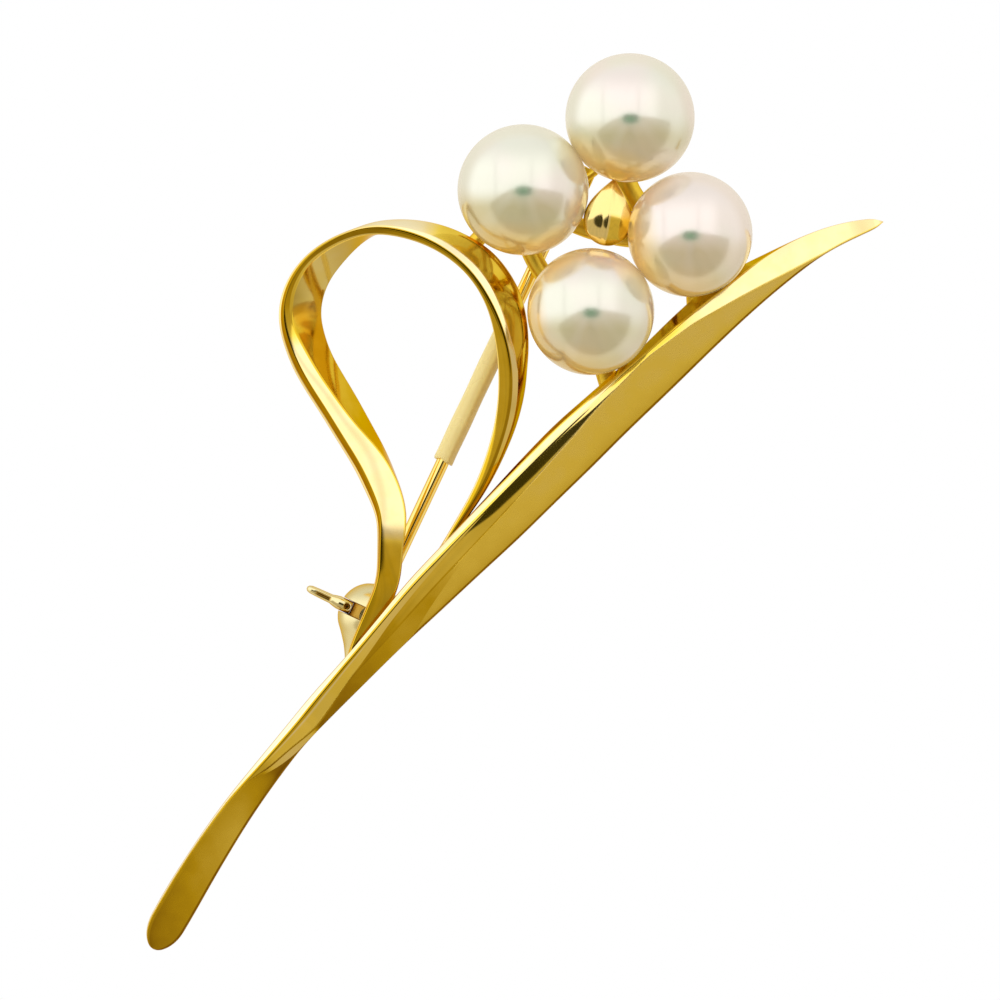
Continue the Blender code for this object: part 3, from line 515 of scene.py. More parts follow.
def pearlMaterial():
    # greenish to pink by a slow cloud; painted reflections: golden on the lower front, the gold's colour
    # where gold is beside it, green in the lens spot
    material, tree, shader, place = newMaterial("nacre")
    cloud = noiseAt(tree, place, nacreFinish["cloud"], 1.0)
    grain = noiseAt(tree, place, nacreFinish["grain"], 2.0)
    labels = ("blush", "low", "paintedGoldGlow", "paintedNeighbourGlow", "paintedLensSpot")
    blush, low, paintedGoldGlow, beside, paintedLensSpot = (attributeOf(tree, label) for label in labels)
    pink = rampBetween(tree, plus(tree, cloud, blush), 0.86, 1.14)
    upper, lower = (blendColour(tree, pink, *nacreFinish[label]) for label in ("upper", "lower"))
    tint = blendColour(tree, paintedGoldGlow, blendColour(tree, low, upper, lower), nacreFinish["goldGlow"])
    tint = blendColour(tree, paintedLensSpot, tint, nacreFinish["paintedLensSpot"])
    tree.links.new(tint, shader.inputs["Base Color"])
    # painted glow: the emission stands in for light, faint alone, warmer where gold is reflected, brighter
    # beside a neighbour
    alone, goldGlow, neighbour = nacreFinish["through"]
    through = blendColour(tree, beside, blendColour(tree, paintedGoldGlow, alone, goldGlow), neighbour)
    tree.links.new(through, shader.inputs["Emission Color"])
    shader.inputs["Emission Strength"].default_value = 1.0
    tree.links.new(rampBetween(tree, grain, 0.3, 0.7, 0.15, 0.20), shader.inputs["Roughness"])
    shader.inputs["Metallic"].default_value = nacreFinish["metallic"]
    coat = rampBetween(tree, paintedGoldGlow, 0.0, 1.0, *nacreFinish["coat"])  # gold beside it dulls the gloss
    tree.links.new(coat, shader.inputs["Coat Weight"])
    shader.inputs["Coat Roughness"].default_value = nacreFinish["coatRough"]
    addBump(tree, shader, grain, 0.1, 0.00001)
    return material


nacre = pearlMaterial()

sleeveFinish = {
    "light": (1.0, 0.87, 0.41, 1.0), "shaded": (0.78, 0.59, 0.23, 1.0), "cloud": 700.0, "cloudDepth": 0.4,
}


def sleeveMaterial():
    # painted light and shade: light to shaded cream by the painted side shade attribute, and a fine cloud
    material, tree, shader, place = newMaterial("creamPlastic")
    cloud = noiseAt(tree, place, sleeveFinish["cloud"], 2.0)
    share = times(tree, minus(tree, cloud, 0.5), sleeveFinish["cloudDepth"])
    share = plus(tree, share, attributeOf(tree, "paintedSideShade"))
    tint = blendColour(tree, share, sleeveFinish["light"], sleeveFinish["shaded"])
    tree.links.new(tint, shader.inputs["Base Color"])
    # painted glow: the cream is emitted faintly though the sleeve is no lamp
    tree.links.new(tint, shader.inputs["Emission Color"])
    shader.inputs["Emission Strength"].default_value = 0.05
    tree.links.new(rampBetween(tree, cloud, 0.3, 0.7, 0.24, 0.34), shader.inputs["Roughness"])
    shader.inputs["Transmission Weight"].default_value = 0.1
    shader.inputs["IOR"].default_value = 1.4
    return material


creamPlastic = sleeveMaterial()
print("materials made")

# leaf blade: facets between rails, each with its own tilt and its painted tone of light and shade

leafBlade = {
    "rings": 720, "crowd": 0.5, "calm": 0.6, "railCalm": 0.45, "lineCalm": 0.3, "toneCalm": 0.12,
    "edge": 0.07, "tipCap": 0.5, "endCap": 1.7, "endHeight": 0.6, "thinnest": 0.15, "facePillow": 0.022,
    "longPillow": 0.006, "lowerFace": (17.5, 19.5), "wallDrop": (0.42, 0.6), "wallFoot": 0.6,
    # painted shade darkens the rim, the sides and the back; the glint is a painted highlight
    "rimTone": 2.9, "sideTone": 2.4, "backTone": 1.6, "glint": (37.0, 39.0, 46.0, 47.5), "glintTone": -0.4,
    "paddle": (48.5, 51.0),
    # distance from the tip | painted tone of light and shade on the wall, on the strip and on the arris
    # between them
    "wallTone": ((0.0, 2.0), (14.0, 2.1), (26.0, 2.2), (30.0, 2.7), (60.0, 2.7)),
    "stripTone": (
        (0.0, -0.35), (11.5, -0.35), (12.8, 1.0), (17.0, 1.2), (18.6, -0.1), (19.5, -0.35), (39.0, -0.35),
        (41.5, -0.8), (47.5, -0.8), (49.0, -0.35),
    ),
    "arris": (
        (0.0, 1.0), (11.5, 1.0), (12.8, 1.8), (17.5, 1.8), (19.0, 1.0), (26.0, 1.0), (29.0, -0.6),
        (60.0, -0.6),
    ),
    # x, y, width, foot of the wall outside it, height at the crease
    "course": (
        (23.25, 9.82, 0.15, 0.00, 0.50), (22.65, 9.69, 0.60, 0.00, 0.66), (21.38, 9.33, 1.02, 0.00, 0.95),
        (19.65, 8.64, 1.41, 0.00, 1.18), (17.35, 7.24, 1.87, 0.12, 1.56), (15.09, 5.42, 2.02, 0.67, 1.92),
        (12.86, 3.52, 2.30, 0.60, 2.19), (10.53, 1.43, 2.57, 0.34, 2.34), (7.05, -1.70, 2.90, 0.20, 2.37),
        (5.94, -2.74, 3.01, 0.20, 2.37), (3.76, -4.88, 2.98, 0.16, 2.35), (1.38, -7.27, 2.89, 0.07, 2.30),
        (-0.79, -9.40, 2.70, 0.02, 2.27), (-3.14, -11.75, 2.47, 0.02, 2.22),
        (-4.62, -13.33, 2.16, 0.02, 2.16), (-7.05, -15.96, 1.81, 0.02, 2.05),
        (-8.86, -17.87, 1.66, 0.02, 1.96), (-10.31, -19.51, 1.48, 0.02, 1.88),
        (-11.76, -21.32, 1.54, 0.02, 1.76), (-13.51, -23.64, 1.75, 0.02, 1.58),
        (-15.53, -26.71, 1.99, 0.02, 1.36), (-17.31, -29.71, 2.10, 0.02, 1.12),
        (-18.02, -30.95, 2.04, 0.00, 1.00), (-18.42, -31.68, 1.90, 0.00, 0.92),
    ),
    # distance from the tip | where strip, sliver, face and fold end, as shares of the width
    "rails": (
        (0.0, 0.05, 0.10, 0.80, 0.90), (0.6, 0.03, 0.08, 0.90, 0.95), (3.8, 0.02, 0.05, 0.96, 0.98),
        (6.5, 0.02, 0.04, 0.76, 0.78), (9.4, 0.02, 0.03, 0.45, 0.47), (12.3, 0.05, 0.07, 0.21, 0.23),
        (15.5, 0.08, 0.09, 0.12, 0.14), (20.1, 0.13, 0.14, 0.26, 0.28), (21.7, 0.145, 0.15, 0.34, 0.36),
        (24.7, 0.14, 0.15, 0.40, 0.42), (28.1, 0.13, 0.15, 0.445, 0.46), (31.1, 0.13, 0.17, 0.48, 0.50),
        (34.4, 0.13, 0.24, 0.525, 0.745), (36.6, 0.13, 0.28, 0.55, 0.98), (40.2, 0.14, 0.50, 0.55, 0.99),
        (42.8, 0.21, 0.74, 0.78, 1.00), (43.9, 0.24, 0.80, 0.90, 1.00), (45.0, 0.24, 0.72, 0.78, 0.97),
        (46.2, 0.22, 0.56, 0.61, 0.85), (47.3, 0.19, 0.42, 0.50, 0.62), (48.5, 0.14, 0.18, 0.20, 0.22),
        (50.2, 0.09, 0.10, 0.11, 0.12), (53.9, 0.05, 0.06, 0.07, 0.08), (59.5, 0.05, 0.06, 0.07, 0.08),
    ),
    # distance | tilts of strip, sliver, face, fold and long facet, degrees
    "tilts": (
        (0.0, -30, -10, -11, 20, 24), (4.0, -30, -9, -9, 22, 25), (6.5, -26, -4, -4, 22, 25),
        (9.0, -20, -2, -2, 22, 25), (11.0, -12, -3, -3, 22, 25), (13.0, -6, -5, -5, 22, 25),
        (15.5, -6, -5, -5, 22, 25), (17.2, -9, -7, -7, 22, 25), (19.4, -16, -6, -6, 22, 25),
        (20.8, -18, -5, 1, 22, 25), (25.5, -22, -3, 4, 22, 25), (28.0, -25, 0, 7, 22, 25),
        (29.6, -26, 4, 12, 23, 25), (34.4, -30, 9, 15, 23, 23), (40.2, -30, 12, 17, 25, 24),
        (43.9, -28, 12, 17, 26, 26), (46.2, -28, 12, 15, 22, 24), (47.3, -28, 12, 14, 18, 22),
        (48.5, -30, 12, 14, 15, 16), (50.2, -32, 12, 13, 14, 14), (59.5, -36, 12, 12, 14, 14),
    ),
    # distance | painted tones of light and shade on the line beside the strip, sliver, face, crease, fold and
    # long facet
    "tones": (
        (0.0, -0.2, -0.2, -0.2, 0.6, 0.8, 0.6), (11.5, -0.2, -0.2, -0.2, 0.6, 0.8, 0.7),
        (13.5, 1.2, 1.2, 0.9, 0.6, 0.8, 0.8), (17.5, 1.2, 1.2, 0.9, 0.6, 0.8, 0.9),
        (19.0, 0.2, 0.2, 0.3, 0.6, 0.8, 0.9), (21.5, 0.0, 0.2, 0.6, 0.4, 0.8, 0.9),
        (24.7, 0.3, 0.6, 1.2, 0.4, 0.9, 0.9), (27.4, 1.0, 1.0, 1.4, 1.9, 1.0, 1.0),
        (31.1, 1.2, 0.8, 1.2, 1.8, 1.1, 1.1), (34.2, 1.6, 0.7, 1.5, 2.3, 2.0, 1.3),
        (36.6, 1.8, 0.4, 2.0, 2.1, 1.8, 1.8), (38.9, 2.0, 0.9, 2.4, 2.5, 2.2, 2.2),
        (41.6, 1.9, 1.0, 1.1, 2.5, 2.6, 2.6), (43.7, 1.9, 0.9, 1.0, 2.4, 2.9, 2.9),
        (44.3, 1.9, 0.9, 1.0, 2.4, 0.8, 2.9), (46.2, 1.9, 1.0, 1.0, 2.5, 0.3, 2.9),
        (47.3, 2.0, 1.4, 1.5, 2.9, 0.9, 2.8), (47.9, 2.1, 1.6, 1.8, 2.7, 2.4, 2.3),
        (49.0, 2.1, 1.9, 1.9, 2.0, 1.9, 1.9), (51.2, 2.1, 1.7, 1.7, 1.7, 1.7, 1.5),
        (54.0, 2.2, 2.0, 2.0, 2.0, 2.0, 1.75), (56.3, 2.2, 2.1, 2.1, 2.1, 2.1, 2.1),
        (59.5, 2.3, 2.3, 2.3, 2.3, 2.3, 2.45),
    ),
}


def endRounding(centres, first, last):
    # share of the full width near either end: root of one minus the square of the distance left, over the
    # cap's length
    steps = np.linalg.norm(np.diff(centres, axis=0), axis=1)
    gone = np.concatenate(([0.0], np.cumsum(steps)))
    near = np.clip(1 - gone / first, 0, 1)
    far = np.clip(1 - (gone[-1] - gone) / last, 0, 1)
    return np.sqrt(np.maximum(1 - near**2, 0.0004)) * np.sqrt(np.maximum(1 - far**2, 0.0004))


def makeLeafBlade():
    # the section's corners step from the crease to either side by the facet's share of the width times its
    # tilt's tangent
    rows, places = alongRows(leafBlade["course"], leafBlade["rings"], leafBlade["crowd"], leafBlade["calm"])
    centres = rows[:, :2]
    across = sideways(centres)
    rounding = endRounding(centres, leafBlade["tipCap"], leafBlade["endCap"])
    width, wall = rows[:, 2] * rounding, rows[:, 3] * rounding
    high = rows[:, 4] * (leafBlade["endHeight"] + (1 - leafBlade["endHeight"]) * rounding)
    strip, sliver, crease, fold = alongTable(leafBlade["rails"], places, leafBlade["railCalm"]).T
    slopes = np.tan(np.radians(alongTable(leafBlade["tilts"], places, leafBlade["railCalm"]))).T
    highSliver = high + slopes[2] * (crease - sliver) * width
    highStrip = highSliver + slopes[1] * (sliver - strip) * width
    highWall = np.maximum(highStrip + slopes[0] * strip * width, leafBlade["thinnest"])
    highFold = high - slopes[3] * (fold - crease) * width
    highRight = np.maximum(highFold - slopes[4] * (1.0 - fold) * width, leafBlade["thinnest"])
    left = -0.5 * width
    zero = np.zeros_like(width)
    drop, dropShare = leafBlade["wallDrop"]
    wallLow = highWall - np.minimum(drop, dropShare * highWall)
    corners = np.stack([np.column_stack(pair) for pair in (
        (left - leafBlade["wallFoot"] * wall, zero), (left - wall, wallLow), (left, highWall),
        (left + strip * width, highStrip), (left + sliver * width, highSliver), (left + crease * width, high),
        (left + fold * width, highFold), (0.5 * width, highRight), (0.5 * width, zero))], axis=1)
    edge = leafBlade["edge"]
    pillow = -leafBlade["facePillow"] * (crease - sliver) * width
    pillow = pillow * straightStep(places, *leafBlade["lowerFace"])
    longPillow = -leafBlade["longPillow"] * (1 - crease) * width
    radii = (edge, edge * 0.6, edge, edge * 1.2, edge, edge * 0.6, edge, edge * 1.6, edge)
    ring = roundedRing(corners, radii, (0.0, 0.0, -0.01, 0.0, pillow, longPillow, longPillow, 0.0, 0.0))
    plan = centres[:, None] + across[:, None] * ring[..., :1]
    points = toWorld(plan[..., 0], plan[..., 1], backPlane + ring[..., 1])
    # painted tone of light and shade on each corner's arc and on the side after it
    tones = alongTable(leafBlade["tones"], places, leafBlade["toneCalm"]).T
    line, sliverTone, faceTone, creaseTone, foldTone, longTone = tones
    wallTone, stripTone, arris = (alongTable(leafBlade[label], places, leafBlade["lineCalm"])[:, 0]
                                  for label in ("wallTone", "stripTone", "arris"))
    sideTone, backTone = leafBlade["sideTone"], leafBlade["backTone"]
    paintedTone = ringTones(((wallTone, wallTone), (wallTone, wallTone), (arris, stripTone), (line, sliverTone),
                      (sliverTone, faceTone), (creaseTone, foldTone), (foldTone, longTone),
                      (leafBlade["rimTone"], sideTone), (sideTone, backTone)), np.ones_like(line))
    # a painted dark line and a painted highlight line beside the strip
    start, full, wane, end = leafBlade["glint"]
    glint = straightStep(places, start, full) * straightStep(-places, -end, -wane)
    beside = sideColumns(3).start
    paintedTone[:, beside:beside + 2] += glint[:, None] * (line[:, None] - paintedTone[:, beside:beside + 2])
    paintedTone[:, beside + 2] += glint * (leafBlade["glintTone"] - paintedTone[:, beside + 2])
    # painted shade: a darker right edge on the long facet, and a darker left on the paddle
    shares = np.array(sideShares)[None]
    paddle = straightStep(places, *leafBlade["paddle"])[:, None]
    onPaddle = 0.3 * (1 - shares) ** 2 - 0.1 * shares
    paintedTone[:, sideColumns(6)] += (1 - paddle) * 0.55 * shares**4 + paddle * onPaddle
    satin = np.zeros(ring.shape[:2])
    satin[:, sideColumns(4).stop:sideColumns(7).stop] = 1.0
    grid = {"points": points, "values": {"satin": satin, "paintedTone": paintedTone, "paintedShade": 0 * paintedTone}}
    return makePiece("leafBlade", [grid], goldWorked, "brooch", "leaf_blade")


makeLeafBlade()

# ribbon loop: a band that leans in and out on its way round

ribbonLoop = {
    "rings": 1100, "calm": 0.6, "stepCalm": 0.4, "shadeCalm": 0.3, "toneCalm": 0.15,
    "edge": 0.09, "pillow": 0.02, "lipHollow": 0.05, "lipFoot": 0.6,
    # painted shade on the front at the foot, towards the blade, and on the back
    "foot": 6.0, "footTone": 0.5, "footShade": 0.7, "backTone": (1.8, 1.5),
    # x, y | front face's offset outwards and width, shift of the back, height, tilt outwards
    "course": (
        (-7.45, -16.20, 0.00, 0.25, 0.05, 1.50, -9), (-6.95, -14.75, 0.00, 0.55, 0.06, 1.62, -9),
        (-5.93, -12.83, -0.04, 1.06, 0.06, 1.78, -10), (-4.99, -10.64, -0.04, 1.26, 0.06, 1.97, -11),
        (-4.85, -8.50, -0.04, 1.36, 0.04, 2.06, -12), (-4.71, -7.21, -0.03, 1.50, 0.00, 2.02, -12),
        (-5.49, -4.63, 0.00, 1.60, -0.08, 1.88, -11), (-7.35, -1.19, 0.42, 1.00, -0.92, 1.60, -11),
        (-9.55, 2.82, 0.66, 0.74, -1.36, 1.30, -12), (-9.95, 4.51, 0.88, 0.48, -1.76, 1.42, -12),
        (-9.33, 6.62, 0.86, 0.34, -1.66, 1.76, -12), (-7.89, 8.15, 0.56, 0.36, -1.08, 2.00, -12),
        (-6.17, 9.13, 0.16, 0.40, -0.20, 2.14, -12), (-4.06, 9.32, -0.26, 0.40, 0.70, 2.17, -12),
        (-2.01, 8.77, -0.50, 0.34, 1.18, 2.13, -12), (0.22, 7.25, -0.74, 0.28, 1.74, 2.05, -12),
        (1.51, 5.36, -0.84, 0.34, 1.80, 1.98, -12), (2.02, 3.37, -0.70, 0.58, 1.40, 1.90, -12),
        (2.12, 1.37, -0.50, 0.74, 0.94, 1.74, -12), (1.87, -1.04, -0.36, 0.73, 0.66, 1.46, -12),
        (1.19, -3.22, -0.23, 0.60, 0.45, 1.16, -12), (0.19, -5.38, -0.10, 0.46, 0.28, 0.90, -12),
        (-1.26, -7.71, -0.03, 0.30, 0.10, 0.66, -12), (-2.05, -8.95, 0.00, 0.22, 0.00, 0.56, -12),
    ),
    # distance from the foot | width and drop of the step outside the front, width and drop of the lip
    # below it
    "steps": (
        (0.0, 0.03, 0.20, 0.03, 0.05), (5.0, 0.05, 0.45, 0.06, 0.10), (8.2, 0.07, 0.50, 0.07, 0.11),
        (10.0, 0.13, 0.55, 0.11, 0.12), (12.0, 0.19, 0.55, 0.15, 0.13), (20.0, 0.19, 0.50, 0.16, 0.12),
        (23.0, 0.10, 0.30, 0.12, 0.10), (25.0, 0.05, 0.15, 0.08, 0.08), (28.2, 0.05, 0.02, 0.05, 0.06),
        (30.8, 0.22, 0.04, 0.48, 0.50), (32.9, 0.36, 0.06, 0.82, 0.85), (35.6, 0.50, 0.09, 1.24, 1.20),
        (37.9, 0.42, 0.075, 1.38, 1.30), (40.0, 0.30, 0.07, 1.10, 1.15), (42.0, 0.40, 0.12, 0.54, 0.70),
        (44.4, 0.38, 0.13, 0.28, 0.50), (46.7, 0.28, 0.10, 0.17, 0.40), (49.1, 0.20, 0.08, 0.08, 0.25),
        (53.3, 0.06, 0.04, 0.02, 0.10),
    ),
    # distance | how far the inner side is darkened by painted shade
    "shadeDepths": ((0.0, 0.0), (21.6, 0.0), (22.6, 0.3), (24.0, 0.42), (27.5, 0.4), (30.0, 0.15), (31.5, 0.0)),
    # distance | painted tones of light and shade on inner side, inner edge, front, outer edge, step, lip and
    # outer side
    "tones": (
        (0.0, 2.3, 1.9, 2.0, 1.6, 1.5, 0.3, 0.8), (6.0, 1.8, 1.2, 2.0, 2.0, 2.2, 0.2, 0.8),
        (8.2, 1.6, 0.8, 1.7, 2.6, 2.7, 0.1, 0.8), (8.7, 1.5, 0.8, -0.2, 2.6, 2.7, 0.1, 0.8),
        (12.0, 1.6, 1.0, -0.2, 2.7, 2.7, 0.0, 0.8), (13.5, 1.8, 1.6, -0.2, 2.7, 2.7, 0.0, 0.8),
        (20.8, 1.8, 1.8, -0.2, 2.7, 2.7, 0.0, 0.8), (21.6, 1.8, 1.8, 1.3, 2.7, 2.6, 0.0, 0.6),
        (23.0, 0.7, 1.4, 2.1, 2.6, 2.2, 0.0, 0.4), (25.0, 0.5, 0.9, 2.4, 2.5, 1.4, 0.1, 0.3),
        (28.0, 0.1, 0.6, 2.5, 2.4, 0.4, 0.0, 0.2), (29.5, -0.2, 0.6, 2.4, 2.4, 0.0, -0.6, 0.2),
        (31.8, 0.3, 0.6, 2.2, 2.3, -0.4, -0.4, 0.2), (32.8, 0.3, 0.6, 2.0, 2.2, -0.4, 1.2, 0.4),
        (36.8, 0.6, 0.6, 1.9, 2.2, -0.4, 1.6, 0.9), (37.1, 0.6, 0.6, 1.9, 2.2, -0.4, 2.3, 0.9),
        (37.4, 0.6, 0.6, 1.9, 2.2, -0.3, 1.6, 0.9), (41.5, 0.9, 0.6, 1.8, 2.3, -0.2, 1.7, 1.4),
        (42.5, 0.9, 0.6, 1.8, 2.4, 0.2, 2.2, 1.6), (46.0, 0.4, 0.1, 1.8, 2.5, 0.5, 2.4, 2.0),
        (49.5, 0.3, -0.1, 2.0, 2.6, 2.2, 2.6, 2.4), (54.0, 0.3, -0.1, 2.0, 2.6, 2.5, 2.6, 2.6),
    ),
}


def makeRibbonLoop():
    # a slanted section: the front face is tilted at its height, the back sits on the back plane, shifted
    # as the band leans; a step and a lip run down the outer side below the front edge
    rows, places = alongRows(ribbonLoop["course"], ribbonLoop["rings"], 0.0, ribbonLoop["calm"])
    centres = rows[:, :2]
    across = sideways(centres)
    offset, thick, shift, high = rows[:, 2:6].T
    rise = np.tan(np.radians(rows[:, 6])) * thick / 2
    stepWide, stepDrop, lipWide, lipDrop = alongTable(ribbonLoop["steps"], places, ribbonLoop["stepCalm"]).T
    zero = np.zeros_like(thick)
    inner, outer, top = offset - thick / 2, offset + thick / 2, high - rise
    outerFoot = np.maximum(shift, ribbonLoop["lipFoot"] * (stepWide + lipWide))
    corners = np.stack([np.column_stack(pair) for pair in (
        (inner + shift, zero), (inner, high + rise), (outer, top), (outer + stepWide, top - stepDrop),
        (outer + stepWide + lipWide, top - stepDrop - lipDrop), (outer + outerFoot, zero))], axis=1)
    edge = ribbonLoop["edge"]
    pillow, hollow = -ribbonLoop["pillow"] * thick, -ribbonLoop["lipHollow"] * lipWide
    ring = roundedRing(corners, (edge, edge, edge, edge * 0.3, edge * 0.5, edge),
                       (-0.02, pillow, 0.0, hollow, 0.0, 0.0))
    plan = centres[:, None] + across[:, None] * ring[..., :1]
    points = toWorld(plan[..., 0], plan[..., 1], backPlane + ring[..., 1])
    tones = alongTable(ribbonLoop["tones"], places, ribbonLoop["toneCalm"]).T
    paintedTone = ringTones(((tones[0], tones[0]), (tones[1], tones[2]), (tones[3], tones[4]), (tones[4], tones[5]),
                      (tones[5], tones[6]), ribbonLoop["backTone"]), np.ones_like(thick))
    # painted shade: the front is dimmer towards the blade at the foot
    foot = straightStep(-places, -ribbonLoop["foot"], 0.0)[:, None]
    beside = foot**0.5 * (1 - np.array(sideShares)[None])
    paintedTone[:, sideColumns(1)] -= ribbonLoop["footTone"] * beside
    paintedShade = np.zeros(ring.shape[:2])
    paintedShade[:, :sideColumns(0).stop] = alongTable(ribbonLoop["shadeDepths"], places, ribbonLoop["shadeCalm"])
    paintedShade[:, sideColumns(1)] = ribbonLoop["footShade"] * beside
    grid = {"points": points, "values": {"satin": np.zeros(ring.shape[:2]), "paintedTone": paintedTone, "paintedShade": paintedShade}}
    return makePiece("ribbonLoop", [grid], goldWorked, "brooch", "ribbon_loop")


makeRibbonLoop()

# pearls: nearly round, drilled from behind

pearls = {
    "near": 8.5, "rings": 120, "sides": 160, "unevenness": 0.0025,
    "hole": 0.00043, "holeSteps": (0.0001, 0.0012, 0.0030),
    # shares of the radius between which a change runs
    # painted reflection on the lower front, painted glow beside a neighbour, end of the painted gold glow,
    # painted lens spot as width, height and drop, start of the painted rays
    "leaning": (-0.85, -0.1), "facing": (-0.6, 0.1), "lower": (-0.05, 0.35), "lowerRight": (0.35, 0.75),
    "beside": (0.7, 1.0), "goldGlowEnd": 0.95, "paintedLensSpot": (0.13, 0.08, 0.03), "rayStart": 0.14,
    # blush, start of the waves, lean of the front half along X and Z in mm, sides with painted gold glow as
    # X, Z, strength and start
    "top": (0.50, 1.3, (0.09, -0.17), ((-0.35, -0.94, 1.0, 0.45),)),
    "left": (0.40, 3.4, (0.06, 0.06), ((0.05, -1.0, 0.75, 0.45), (-0.6, -0.8, 0.35, 0.45))),
    "right": (0.62, 5.5, (-0.24, 0.02), ((-0.97, -0.2, 0.9, 0.45), (-0.2, -0.98, 0.5, 0.45))),
    "bottom": (0.46, 7.6, (0.17, -0.04),
               ((-0.5, 0.85, 0.8, 0.6), (-0.99, -0.12, 0.75, 0.66), (-0.2, -0.98, 0.6, 0.5))),
}
pearlNames = ("top", "left", "right", "bottom")
pearlPlan = {}
for pearlName in pearlNames:
    pearlLow, pearlHigh = boxMm(f"pearl_{pearlName}")
    pearlPlan[pearlName] = ((pearlLow + pearlHigh) / 2)[[0, 2]]


def makePearl(name):
    # radius less a slow wave over the sphere, from the front pole to the rim of the hole and into it
    blush, phase, lean, goldGlowSides = pearls[name]
    low, high = (np.array(corner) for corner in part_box(f"pearl_{name}"))
    middle = (low + high) / 2
    radius = (high - low)[0] / 2
    middle[1] = low[1] + radius
    holeRadius = pearls["hole"]
    polar = np.linspace(0.004, math.pi - math.asin(holeRadius / radius), pearls["rings"])[:, None]
    turn = np.linspace(0, 2 * math.pi, pearls["sides"], endpoint=False)[None]
    wave = np.sin(2 * turn + phase) * np.sin(polar) ** 2 * np.cos(polar * 2 + phase)
    distance = radius * (1 - pearls["unevenness"] * (0.5 + 0.5 * wave))
    away = distance * np.sin(polar)
    skin = np.stack((away * np.cos(turn), -distance * np.cos(polar), away * np.sin(turn)), axis=-1)
    depth = skin[-1, :, 1].mean() - np.array(pearls["holeSteps"])[:, None] + 0 * turn
    away = holeRadius + 0 * depth
    hole = np.stack((away * np.cos(turn), depth, away * np.sin(turn)), axis=-1)
    points = np.concatenate((skin, hole)) + middle
    unit = (points - middle) / radius
    side, back, up = (unit[..., axis] for axis in range(3))
    leaning = softStep(-back, *pearls["leaning"])[..., None]  # the back stays in its cup
    points = points + leaning * np.array((lean[0], 0.0, lean[1])) * 1e-3
    # painted reflections: the gold's colour where gold is beside the pearl, golden rays on the lower front
    # and a green lens spot; painted glow beside a neighbour
    facing = softStep(-back, *pearls["facing"])  # the back stays plain
    paintedGoldGlow = facing * sum(straightStep(unit @ np.array((x, 0.0, z)), start, pearls["goldGlowEnd"]) ** 1.2 * strength
                        for x, z, strength, start in goldGlowSides)
    paintedLowReflection = facing * softStep(-up, *pearls["lower"]) * (1 - 0.4 * softStep(side, *pearls["lowerRight"]))
    rayTurn = np.arctan2(side, pearls["rayStart"] - up)
    rays = 0.5 + 0.3 * np.sin(7 * rayTurn + phase) + 0.2 * np.sin(12 * rayTurn + 2 * phase)
    paintedLowReflection = paintedLowReflection * (0.83 + 0.34 * rays * (back < 0))
    spotWide, spotTall, spotDrop = pearls["paintedLensSpot"]
    paintedLensSpot = np.exp(-(side / spotWide) ** 2 - ((up + spotDrop) / spotTall) ** 2) * (back < 0)
    paintedNeighbourGlow = np.zeros(paintedGoldGlow.shape)
    for other in pearlNames:
        way = pearlPlan[other] - pearlPlan[name]
        if 0 < np.linalg.norm(way) < pearls["near"]:
            way /= np.linalg.norm(way)
            paintedNeighbourGlow += straightStep(unit @ np.array((way[0], 0.0, way[1])), *pearls["beside"])
    values = {"paintedGoldGlow": np.clip(paintedGoldGlow, 0, 1), "low": paintedLowReflection, "paintedNeighbourGlow": paintedNeighbourGlow, "paintedLensSpot": paintedLensSpot,
              "blush": np.full(paintedGoldGlow.shape, blush)}
    grid = {"points": points, "values": values}
    return makePiece(f"pearl.{name}", [grid], nacre, "brooch", f"pearl_{name}")


for pearlName in pearlNames:
    makePearl(pearlName)

# turned cups under the pearls, and the pegs that hold them

pearlCup = {
    "foot": 1.05, "hole": 0.42, "rim": 0.15, "seam": 0.02, "soft": 0.06, "peg": 0.395, "head": 0.12,
    "pegSoft": 0.08,
}


def makePearlCup(name):
    # the inside follows the pearl: its centre's height minus the root of its radius squared less the point's
    # radius squared
    pearlLow, pearlHigh = boxMm(f"pearl_{name}")
    cupLow, cupHigh = boxMm(f"cup_{name}")
    pegLow, pegHigh = boxMm(f"peg_{name}")
    x, z = pearlPlan[name]
    radius = (pearlHigh - pearlLow)[0] / 2
    level, lip, wide = -cupHigh[1], -cupLow[1], (cupHigh - cupLow)[0] / 2
    foot, rim, inner = pearlCup["foot"], pearlCup["rim"], pearlCup["hole"]
    away = np.linspace(wide - rim, inner, 30)
    sunk = np.sqrt((radius + pearlCup["seam"]) ** 2 - away**2)
    bowl = np.column_stack((away, -pearlLow[1] - radius - sunk))
    outside = softLine(((inner, level), (foot, level), (foot + 0.02, level + 0.1), (wide - rim, lip - rim),
                        (wide, lip), (wide - rim, bowl[0, 1])), pearlCup["soft"])
    profile = np.concatenate((outside, bowl[1:]))
    grid = {"points": turned(profile, (x, 0.0, z), forward, (1, 0, 0), 96), "looped": True}
    makePiece(f"cup.{name}", [grid], gold, "brooch", f"cup_{name}")
    half, head = pearlCup["peg"], pearlCup["head"]
    low, high = -pegHigh[1], -pegLow[1]
    profile = softLine(((0.02, low), (half - head, low), (half, low + head), (half, high - head),
                        (half - head, high), (0.02, high)), pearlCup["pegSoft"])
    grid = {"points": turned(profile, (x, 0.0, z), forward, (1, 0, 0), 40)}
    makePiece(f"peg.{name}", [grid], gold, "brooch", f"peg_{name}")


for pearlName in pearlNames:
    makePearlCup(pearlName)

# flower frame: rounded wires and pads behind the pearls

